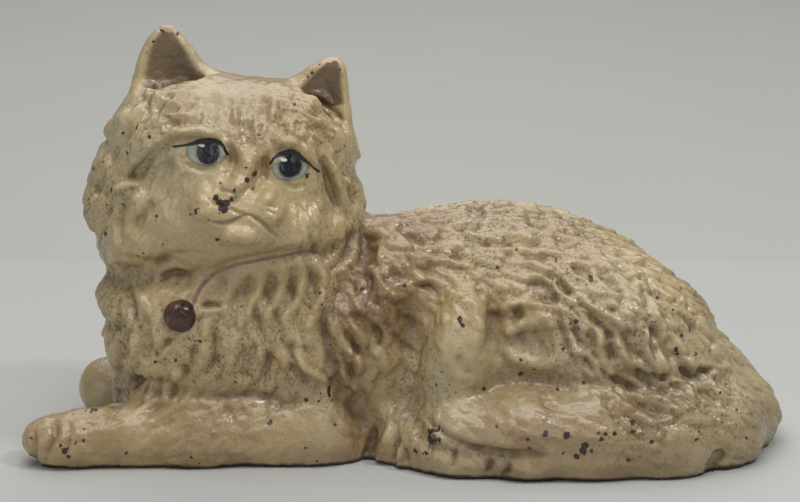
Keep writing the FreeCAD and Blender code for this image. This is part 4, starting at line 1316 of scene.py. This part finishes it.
class Finish:
    """A material and short ways to add its nodes."""

    def __init__(self, name):
        self.material = bpy.data.materials.new(name)
        self.material.use_nodes = True
        self.tree = self.material.node_tree
        self.shader = self.tree.nodes["Principled BSDF"]
        self.place = self.tree.nodes.new("ShaderNodeTexCoord").outputs["Object"]

    def node(self, kind, settings=(), inputs=(), output=0):
        """Add a node and give one of its outputs."""
        made = self.tree.nodes.new(kind)
        for name, value in dict(settings).items():
            setattr(made, name, value)
        for name, value in dict(inputs).items():
            self.feed(made.inputs[name], value)
        return made.outputs[output]

    def feed(self, socket, value):
        """Link a socket, or set its value."""
        if isinstance(value, bpy.types.NodeSocket):
            self.tree.links.new(value, socket)
        else:
            socket.default_value = value

    def value(self, name):
        """A value stored at the points."""
        return self.node("ShaderNodeAttribute", {"attribute_name": name}, output=2)

    def noise(self, size_mm, detail=3.0, rough=0.55):
        """Noise between 0 and 1 with lumps of about the given size."""
        return self.node("ShaderNodeTexNoise", inputs={
            "Vector": self.place, "Scale": 1000.0 / size_mm / 2.0, "Detail": detail,
            "Roughness": rough,
        })

    def math(self, operation, a, b=0.0, c=0.0, clamp=False):
        """Arithmetic on values or sockets."""
        made = self.tree.nodes.new("ShaderNodeMath")
        made.operation = operation
        made.use_clamp = clamp
        for socket, value in zip(made.inputs, (a, b, c)):
            self.feed(socket, value)
        return made.outputs[0]

    def ramp(self, value, low, high, to_low=0.0, to_high=1.0):
        """Smoothly from to_low at low to to_high at high."""
        made = self.tree.nodes.new("ShaderNodeMapRange")
        made.interpolation_type = "SMOOTHSTEP"
        for socket, number in zip(made.inputs, (value, low, high, to_low, to_high)):
            self.feed(socket, number)
        return made.outputs[0]

    def blend(self, share, a, b):
        """Mix two colours."""
        made = self.tree.nodes.new("ShaderNodeMix")
        made.data_type = "RGBA"
        self.feed(made.inputs[0], share)
        self.feed(made.inputs[6], a)
        self.feed(made.inputs[7], b)
        return made.outputs[2]

    def bump(self, height, depth_mm, normal=None):
        """Small relief, on top of another if one is given."""
        made = self.tree.nodes.new("ShaderNodeBump")
        made.inputs["Distance"].default_value = depth_mm * MM
        self.feed(made.inputs["Height"], height)
        if normal is not None:
            self.feed(made.inputs["Normal"], normal)
        return made.outputs[0]


EYE_RIM, EYE_GLINT = (0.19, 0.17, 0.12, 1), (0.62, 0.66, 0.60, 1)
# Bare iron of the chips; the same colours paint the contact shadow along the base edge.
CHIPPED_IRON_AND_BASE_SHADOW = (0.018, 0.011, 0.009, 1), (0.045, 0.025, 0.017, 1)
CAST_IRON, CAST_RUST = ((0.045, 0.040, 0.037, 1), (0.12, 0.105, 0.095, 1)), (0.16, 0.065, 0.028, 1)
STEEL, STEEL_RUST = ((0.10, 0.09, 0.08, 1), (0.24, 0.22, 0.20, 1)), (0.13, 0.055, 0.025, 1)


def enamel(paint_box):
    """Worn cream enamel over iron, with the painted face, ribbon and bell, dirt and chips, painted shade
    in the hollows and towards the bottom, and a painted contact shadow along the base edge.
    """
    f = Finish("worn_cream_enamel")

    def tint(name, share=1.0):
        """A colour of the paint box, darkened to a share of itself."""
        return (*(share * part for part in getattr(paint_box, name)), 1.0)

    wobble = f.math("MULTIPLY_ADD", f.noise(2.2), 0.5, -0.25)
    fine = f.noise(0.9, 4.0, 0.65)
    patch = f.noise(16.0, 3.0, 0.6)
    broad = f.noise(45.0, 2.0)
    colour = f.blend(f.ramp(patch, 0.35, 0.65), tint("cream"), tint("cream", 0.87))
    colour = f.blend(f.ramp(broad, 0.45, 0.65, 0.0, 0.5), colour, tint("faded_cream"))
    stain = f.ramp(f.noise(11.0, 4.0, 0.7), 0.6, 0.74)
    stain = f.math("MULTIPLY", stain, f.value("coat"), clamp=True)
    colour = f.blend(f.math("MULTIPLY", stain, 0.55), colour, tint("stain"))
    hollow = f.value("hollow")
    # Dark in the hollows: dirt settled in the recesses, together with painted shade laid into them.
    grime_and_shade = f.ramp(f.math("MULTIPLY_ADD", f.noise(2.0, 4.0, 0.7), 0.5, hollow), 0.22, 1.05)
    speck = f.math("MULTIPLY_ADD", f.ramp(patch, 0.3, 0.7), 0.10, f.noise(0.55, 5.0, 0.8))
    speck = f.math("MULTIPLY_ADD", f.value("coat"), 0.10, speck)
    speck = f.math("MULTIPLY_ADD", hollow, 0.12, speck)
    loose = f.math("MULTIPLY", f.ramp(speck, 0.62, 0.80), 0.95)
    grime_and_shade = f.math("MAXIMUM", f.math("MULTIPLY", grime_and_shade, 0.85), loose)
    height = f.node("ShaderNodeSeparateXYZ", inputs={"Vector": f.place}, output=2)
    # Darker towards the bottom and over the listed patches: dirt, together with painted shade of the
    # lower parts.
    low = f.ramp(f.math("MULTIPLY_ADD", f.noise(14.0), -0.016, height), 0.006, 0.024, 0.3, 0.0)
    low = f.math("MAXIMUM", low, f.value("soil"))
    cloud = f.ramp(f.noise(7.0, 4.0, 0.65), 0.3, 0.65, 0.55, 1.15)
    colour = f.blend(f.math("MULTIPLY", low, cloud, clamp=True), colour, tint("grime_and_shade", 2.1))
    colour = f.blend(f.math("MULTIPLY", grime_and_shade, 0.9), colour, tint("grime_and_shade"))
    colour = f.blend(f.math("MULTIPLY", f.ramp(fine, 0.5, 0.8), 0.35), colour, tint("grime_and_shade", 3.0))
    lining = f.blend(f.ramp(patch, 0.3, 0.7), tint("ear_lining", 0.65), tint("ear_lining", 1.2))
    colour = f.blend(f.ramp(f.math("ADD", f.value("ear"), wobble), 0.5, 1.9, 0.92, 0.0), colour, lining)
    small = f.math("MULTIPLY", wobble, 0.35)

    def paint(colour, name, shade, soft=0.12, shift=0.0):
        """Lay a shade over everything within shift of a paint mark."""
        gap = f.math("ADD", f.value(name), small)
        return f.blend(f.ramp(gap, shift - soft, shift + soft, 1.0, 0.0), colour, shade)

    ribbon_shade = f.blend(f.ramp(f.noise(2.0), 0.35, 0.7), tint("ribbon"), tint("ribbon", 1.35))
    colour = paint(colour, "ribbon", ribbon_shade, 0.3)
    colour = paint(colour, "mouth", tint("lips"), 0.25)
    colour = paint(colour, "ball", EYE_RIM, 0.35, 0.3)
    colour = paint(colour, "ball", tint("iris"), 0.2, -0.25)
    colour = paint(colour, "pupil", tint("iris", 0.5), 0.4, 0.6)
    colour = paint(colour, "pupil", tint("pupil"))
    colour = paint(colour, "glint", EYE_GLINT)
    colour = paint(colour, "lash", tint("pupil"))
    bell = f.ramp(f.math("ADD", f.value("bell"), small), -0.15, 0.2, 1.0, 0.0)
    bell_shade = f.blend(f.ramp(f.noise(3.0), 0.35, 0.65), tint("bell", 0.4), tint("bell", 1.3))
    colour = f.blend(bell, colour, bell_shade)
    gap = f.math("MULTIPLY_ADD", f.noise(1.3, 4.0, 0.75), 3.4, -1.6)
    chip = f.ramp(f.math("ADD", f.value("chip"), gap), -0.06, 0.06, 1.0, 0.0)
    crumbs = f.ramp(f.math("MULTIPLY", f.noise(1.5, 2.0), f.noise(9.0)), 0.425, 0.435)
    # A dark line along the bottom edge, in the bare iron colour: a painted contact shadow where the
    # casting meets the floor.
    base_contact_shadow = f.math("MULTIPLY_ADD", f.noise(5.0, 4.0), -0.003, height)
    base_contact_shadow = f.ramp(base_contact_shadow, -0.0006, 0.0008, 1.0, 0.0)
    # Bare iron shows in the chips and crumbs; this mask also carries the painted contact shadow at the
    # base.
    bare = f.math("MAXIMUM", f.math("MAXIMUM", chip, crumbs), base_contact_shadow)
    colour = f.blend(bare, colour, f.blend(fine, *CHIPPED_IRON_AND_BASE_SHADOW))
    f.feed(f.shader.inputs["Base Color"], colour)
    rough = f.ramp(fine, 0.3, 0.75, 0.20, 0.34)
    rough = f.math("MAXIMUM", rough, f.math("MULTIPLY", grime_and_shade, 0.6))
    rough = f.math("MAXIMUM", rough, f.math("MULTIPLY", bare, 0.62))
    f.feed(f.shader.inputs["Roughness"], rough)
    f.shader.inputs["IOR"].default_value = 1.5
    f.shader.inputs["Coat Weight"].default_value = 0.25
    f.shader.inputs["Coat Roughness"].default_value = 0.12
    normal = f.bump(f.noise(2.6, 3.0, 0.55), 0.9)
    normal = f.bump(fine, 0.16, normal)
    normal = f.bump(f.math("SUBTRACT", 1.0, bare), 0.22, normal)
    f.feed(f.shader.inputs["Normal"], normal)
    return f.material


def bare_iron():
    """Grey-brown sand-cast iron, unpainted, as inside a bank."""
    f = Finish("sand_cast_iron")
    grain = f.noise(1.0, 5.0, 0.7)
    rust = f.ramp(f.noise(12.0, 5.0, 0.65), 0.45, 0.7)
    colour = f.blend(f.ramp(grain, 0.3, 0.7), *CAST_IRON)
    colour = f.blend(f.math("MULTIPLY", rust, 0.7), colour, CAST_RUST)
    f.feed(f.shader.inputs["Base Color"], colour)
    f.feed(f.shader.inputs["Roughness"], f.ramp(grain, 0.3, 0.7, 0.55, 0.85))
    f.shader.inputs["Metallic"].default_value = 0.35
    f.feed(f.shader.inputs["Normal"], f.bump(grain, 0.35, f.bump(f.noise(5.0), 0.4)))
    return f.material


def oiled_steel():
    """Dark screw steel with a worn shine and small patches of rust."""
    f = Finish("old_screw_steel")
    grain = f.noise(0.8, 4.0, 0.65)
    rust = f.ramp(f.noise(4.0, 5.0, 0.7), 0.5, 0.72)
    colour = f.blend(f.ramp(grain, 0.3, 0.7), *STEEL)
    colour = f.blend(rust, colour, STEEL_RUST)
    f.feed(f.shader.inputs["Base Color"], colour)
    worn = f.ramp(grain, 0.3, 0.7, 0.28, 0.45)
    f.feed(f.shader.inputs["Roughness"], f.math("MAXIMUM", worn, f.math("MULTIPLY", rust, 0.8)))
    f.shader.inputs["Metallic"].default_value = 0.9
    f.feed(f.shader.inputs["Normal"], f.bump(grain, 0.1))
    return f.material


# ---------------------------------------------------------------------------------------------
# Screws
# ---------------------------------------------------------------------------------------------

THREAD_PITCH = 1.27
THREAD_DEPTH = 0.5
SHANK_RADIUS = 3.17
DRIVE_SLOT = (12.0, 0.7)   # half length, past the head on both sides, and half width
DRIVE_DEEP, DRIVE_TURN = 2.0, 35


def screw_object(name):
    """A round-headed machine screw with a cut thread and a drive slot."""
    axis, tip, seat, head = screw_axis(name)
    sides, x, z = 36, axis[0], axis[1]
    top = seat + SCREW_HEAD_HIGH
    heights = list(np.arange(tip, seat - 3.0, THREAD_PITCH / 8)) + [seat - 2.9, seat - 0.4, seat]
    rings = []
    for y in heights:
        depth = THREAD_DEPTH * float(ease(seat - 4.0 - y, 0.0, 2.0))
        point = 0.8 * (1.0 - float(ease(y - tip, 0.0, 1.2)))
        rings.append((y, SHANK_RADIUS - point, depth))
    dome = (head**2 + SCREW_HEAD_HIGH**2) / (2 * SCREW_HEAD_HIGH)
    rings += [(seat, head - 0.25, 0.0), (seat + 0.2, head, 0.0)]
    for step in np.linspace(0.12, 0.97, 9):
        radius = head * (1.0 - step)
        rings.append((top - dome + math.sqrt(dome**2 - radius**2), radius, 0.0))
    points = []
    for y, radius, depth in rings:
        for i in range(sides):
            turn = (y / THREAD_PITCH - i / sides) % 1.0
            r = radius - depth * abs(2.0 * turn - 1.0)
            a = 2 * math.pi * i / sides
            points.append((x + r * math.cos(a), y, z + r * math.sin(a)))
    obj = solid("threaded_" + name, points, tube_faces(len(rings), sides))
    c, s = math.cos(math.radians(DRIVE_TURN)), math.sin(math.radians(DRIVE_TURN))
    long, wide = DRIVE_SLOT
    corners = []
    for y in (top - DRIVE_DEEP, top + 1.0):
        for u, v in ((-long, -wide), (long, -wide), (long, wide), (-long, wide)):
            corners.append((x + c * u + s * v, y, z - s * u + c * v))
    combine(obj, solid("drive", corners, tube_faces(2, 4)), "DIFFERENCE")
    return obj


# ---------------------------------------------------------------------------------------------
# Stage
# ---------------------------------------------------------------------------------------------

AIM = (0.0, -10.0, 69.1)
DISTANCE, HEIGHT_ANGLE = 900.0, 14.0
BACKDROP = 246.0           # how far behind the parting plane the paper changes shade, mm
SKY = (0.80, 0.81, 0.82, 1)
# Lamps: name, place and target in modelling millimetres, width in metres, watts.
LAMPS = (
    ("soft_top", (-60, -220, 780), (0, 0, 60), 0.5, 4.6),
    ("small_key", (400, -260, 700), (20, 0, 60), 0.11, 3.0),
    ("soft_front", (200, -800, 420), (0, 0, 60), 0.3, 1.1),
    ("soft_left", (-560, -620, 300), (0, 0, 60), 0.5, 1.5),
    ("backdrop_lamp", (0, 900, 1000), (0, 950, 0), 1.4, 17.0),
)


def world_place(point):
    """Modelling millimetres to metres."""
    return Vector((ORIGIN + np.array(point, float) * MM).tolist())


def look(obj, target):
    """Turn a camera or lamp towards a point."""
    obj.rotation_euler = (target - obj.location).to_track_quat("-Z", "Y").to_euler()


def to_metres(mesh):
    """Turn a mesh from modelling millimetres to metres in the frame."""
    mesh.vertices.foreach_set("co", (mesh_points(mesh) * MM + ORIGIN).ravel())
    mesh.update()


def add_stage(settings):
    """Paper floor that changes shade a little way behind the casting, camera and lamps."""
    bpy.ops.mesh.primitive_plane_add(size=6.0, location=(0, 0, CAD_LOW.z))
    floor = bpy.context.object
    floor.name = "studio_floor"
    paper = Finish("studio_paper")
    back = paper.node("ShaderNodeSeparateXYZ", inputs={"Vector": paper.place}, output=1)
    fold = world_place((0, BACKDROP, 0)).y
    share = paper.ramp(back, fold - 0.004, fold + 0.004)
    mottle = paper.ramp(paper.noise(60.0, 2.0), 0.3, 0.7, 0.0, 0.35)
    tone = paper.blend(share, (*settings.floor_colour, 1), (*settings.wall_colour, 1))
    tone = paper.blend(mottle, tone, (*settings.floor_colour, 1))
    paper.feed(paper.shader.inputs["Base Color"], tone)
    paper.shader.inputs["Roughness"].default_value = 0.85
    floor.data.materials.append(paper.material)

    camera = add_object("camera", bpy.data.cameras.new("camera"))
    a = math.radians(HEIGHT_ANGLE)
    aim = world_place(AIM)
    camera.location = aim + Vector((0, -math.cos(a), math.sin(a))) * DISTANCE * MM
    look(camera, aim)
    camera.data.lens = settings.lens
    camera.data.sensor_width = 36.0
    camera.data.clip_start = 0.01
    bpy.context.scene.camera = camera
    bpy.context.scene.view_settings.view_transform = "Standard"

    for name, place, target, size, power in LAMPS:
        lamp = bpy.data.lights.new(name, "AREA")
        lamp.energy = power * settings.lamp_strength
        lamp.size = size
        obj = add_object(name, lamp)
        obj.location = world_place(place)
        look(obj, world_place(target))
    world = bpy.data.worlds.new("studio")
    world.use_nodes = True
    world.node_tree.nodes["Background"].inputs["Color"].default_value = SKY
    world.node_tree.nodes["Background"].inputs["Strength"].default_value = settings.sky_strength
    bpy.context.scene.world = world


# ---------------------------------------------------------------------------------------------
# Add-on: settings, one operator for each group of pieces, and a panel
# ---------------------------------------------------------------------------------------------

class CastingSettings(bpy.types.PropertyGroup):
    """Sizes of the two castings and the depth of their modelling."""

    wall: bpy.props.FloatProperty(
        name="Wall", description="Thickness of the iron", default=4.5 * MM, min=3.0 * MM, max=6.0 * MM,
        subtype="DISTANCE", unit="LENGTH",
    )
    clay_step: bpy.props.FloatProperty(
        name="Grain", description="Spacing of the modelled points", default=0.8 * MM, min=0.6 * MM,
        max=2.0 * MM, subtype="DISTANCE", unit="LENGTH",
    )
    lock_depth: bpy.props.FloatProperty(
        name="Lock depth", description="How proud the locks of the coat stand", default=2.3, min=0.0,
        max=3.0, subtype="FACTOR",
    )
    stroke_depth: bpy.props.FloatProperty(
        name="Tool mark depth", description="How deep the hand-cut marks are", default=1.7, min=0.0,
        max=3.0, subtype="FACTOR",
    )


def colour_property(name, description, default):
    """A colour a user may change."""
    return bpy.props.FloatVectorProperty(
        name=name, description=description, default=default, min=0.0, max=1.0, size=3,
        subtype="COLOR",
    )


class PaintSettings(bpy.types.PropertyGroup):
    """Colours of the enamel and of the painted features."""

    cream: colour_property("Cream", "The enamel of the coat", (0.50, 0.388, 0.205))
    faded_cream: colour_property("Faded cream", "Greyer enamel in patches", (0.42, 0.36, 0.225))
    stain: colour_property("Stain", "Yellow-brown stains on the coat", (0.40, 0.235, 0.065))
    # The dirt colour, also used for the painted shade in the hollows and towards the bottom.
    grime_and_shade: colour_property("Grime", "Dirt held in the hollows", (0.10, 0.054, 0.022))
    ear_lining: colour_property("Ear lining", "Dark inside of the ears", (0.17, 0.115, 0.065))
    iris: colour_property("Iris", "Pale ring of the eyes", (0.29, 0.32, 0.24))
    pupil: colour_property("Pupil", "Pupils and lashes", (0.007, 0.006, 0.012))
    lips: colour_property("Lips", "Line of the mouth", (0.35, 0.22, 0.135))
    ribbon: colour_property("Ribbon", "Ribbon round the neck", (0.25, 0.12, 0.085))
    bell: colour_property("Bell", "Bell on the ribbon", (0.075, 0.033, 0.02))


class StageSettings(bpy.types.PropertyGroup):
    """Camera, lamps and paper."""

    lens: bpy.props.FloatProperty(
        name="Lens", description="Focal length of the camera", default=111.6, min=20.0, max=300.0,
        subtype="DISTANCE_CAMERA",
    )
    lamp_strength: bpy.props.FloatProperty(
        name="Lamps", description="Strength of all lamps together", default=0.6, min=0.0, max=4.0,
        subtype="FACTOR",
    )
    sky_strength: bpy.props.FloatProperty(
        name="Room light", description="Strength of the light from all round", default=0.24, min=0.0,
        max=2.0, subtype="FACTOR",
    )
    floor_colour: colour_property("Floor", "Paper under the casting", (0.47, 0.475, 0.45))
    wall_colour: colour_property("Backdrop", "Paper further back", (0.455, 0.45, 0.42))


def finish_piece(obj, body, node):
    """Hand a finished piece to the frame: its body and the node it replaces."""
    if node not in frame["record"]["behaviour"]["bodies"][body]:
        raise RuntimeError(f"{node} isn't part of the body {body}")
    to_metres(obj.data)
    obj.data.shade_smooth()
    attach(obj, body)
    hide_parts(node)


class CATBANK_OT_castings(bpy.types.Operator):
    """Model the cat, part it into its two hollow castings and paint them"""

    bl_idname = "catbank.castings"
    bl_label = "Castings"

    def execute(self, context):
        settings = context.scene.cat_bank_castings
        clay = model_figure(settings.clay_step / MM)
        points, quads = clay.skin()
        quads = outward(points, quads)
        x, y, z = points[quads[:, 0]].T
        middle_x, middle_z, reach_x, reach_z, back = FACE
        fine = (np.abs(x - middle_x) < reach_x) & (np.abs(z - middle_z) < reach_z) & (y < back)
        points, triangles = refined_triangles(points, quads, fine)
        points = average(points, edge_pairs(triangles), 2)
        points = fold_figure(points, triangles)
        inner, inner_quads = offset_skin(points, triangles, settings.wall / MM, 1.5)
        core, core_quads = offset_skin(points, triangles, 0.8 * settings.wall / MM, 1.2)
        carved = carve_figure(points, triangles, settings.lock_depth, settings.stroke_depth)
        # Depth of the hollows, which the enamel darkens with dirt and painted shade.
        hollow = np.maximum(
            2.0 * hollowness(carved, triangles, 4), 0.5 * hollowness(carved, triangles, 24)
        )
        coat = coat_at(points, point_normals(points, triangles))[1][:, 0]
        outer_mesh = array_mesh("outer", carved, triangles, OUTSIDE)
        store(outer_mesh, "hollow", hollow)
        store(outer_mesh, "coat", np.clip(coat / 0.8, 0.0, 1.0))
        inner_mesh = array_mesh("inner", inner, inner_quads[:, ::-1], INSIDE)
        core_object = add_object("core", array_mesh("core", core, core_quads, INSIDE))
        materials = enamel(context.scene.cat_bank_paint), bare_iron()
        for node, body, side in ((FRONT, "front", -1), (REAR, "rear", 1)):
            obj = half_shell("cat_" + node, outer_mesh, inner_mesh, side, materials)
            machine_casting(obj, side, core_object)
            mark_features(obj.data)
            finish_piece(obj, body, node)
        bpy.data.objects.remove(core_object)
        return {"FINISHED"}


class CATBANK_OT_screws(bpy.types.Operator):
    """Model the two round-headed screws that hold the castings together"""

    bl_idname = "catbank.screws"
    bl_label = "Screws"

    def execute(self, context):
        steel = oiled_steel()
        for node, body in zip(SCREWS, ("chest_fixing", "rump_fixing")):
            obj = screw_object(node)
            obj.data.materials.clear()
            obj.data.materials.append(steel)
            finish_piece(obj, body, node)
        return {"FINISHED"}


class CATBANK_OT_stage(bpy.types.Operator):
    """Lay the paper and set the lamps and the camera"""

    bl_idname = "catbank.stage"
    bl_label = "Stage"

    def execute(self, context):
        add_stage(context.scene.cat_bank_stage)
        if context.scene.camera is None:
            raise RuntimeError("the stage has no camera")
        return {"FINISHED"}


OPERATORS = (CATBANK_OT_castings, CATBANK_OT_screws, CATBANK_OT_stage)
SETTINGS = {
    "cat_bank_castings": CastingSettings, "cat_bank_paint": PaintSettings,
    "cat_bank_stage": StageSettings,
}


class CATBANK_PT_panel(bpy.types.Panel):
    """Settings and steps of the cat bank"""

    bl_idname = "CATBANK_PT_panel"
    bl_label = "Cat Bank"
    bl_space_type = "VIEW_3D"
    bl_region_type = "UI"
    bl_category = "Cat Bank"

    def draw(self, context):
        for name, group in SETTINGS.items():
            box = self.layout.box()
            for setting in group.__annotations__:
                box.prop(getattr(context.scene, name), setting)
        for operator in OPERATORS:
            self.layout.operator(operator.bl_idname)


def register():
    """Make the settings, operators and panel known."""
    for kind in (*SETTINGS.values(), *OPERATORS, CATBANK_PT_panel):
        bpy.utils.register_class(kind)
    for name, group in SETTINGS.items():
        setattr(bpy.types.Scene, name, bpy.props.PointerProperty(type=group))


def unregister():
    """Take the settings, operators and panel away again."""
    for name in SETTINGS:
        delattr(bpy.types.Scene, name)
    for kind in reversed((*SETTINGS.values(), *OPERATORS, CATBANK_PT_panel)):
        bpy.utils.unregister_class(kind)


def main():
    """Register the add-on, then build every piece and the stage."""
    register()
    for operator in OPERATORS:
        group, name = operator.bl_idname.split(".")
        getattr(getattr(bpy.ops, group), name)()


if __name__ == "__main__":
    main()
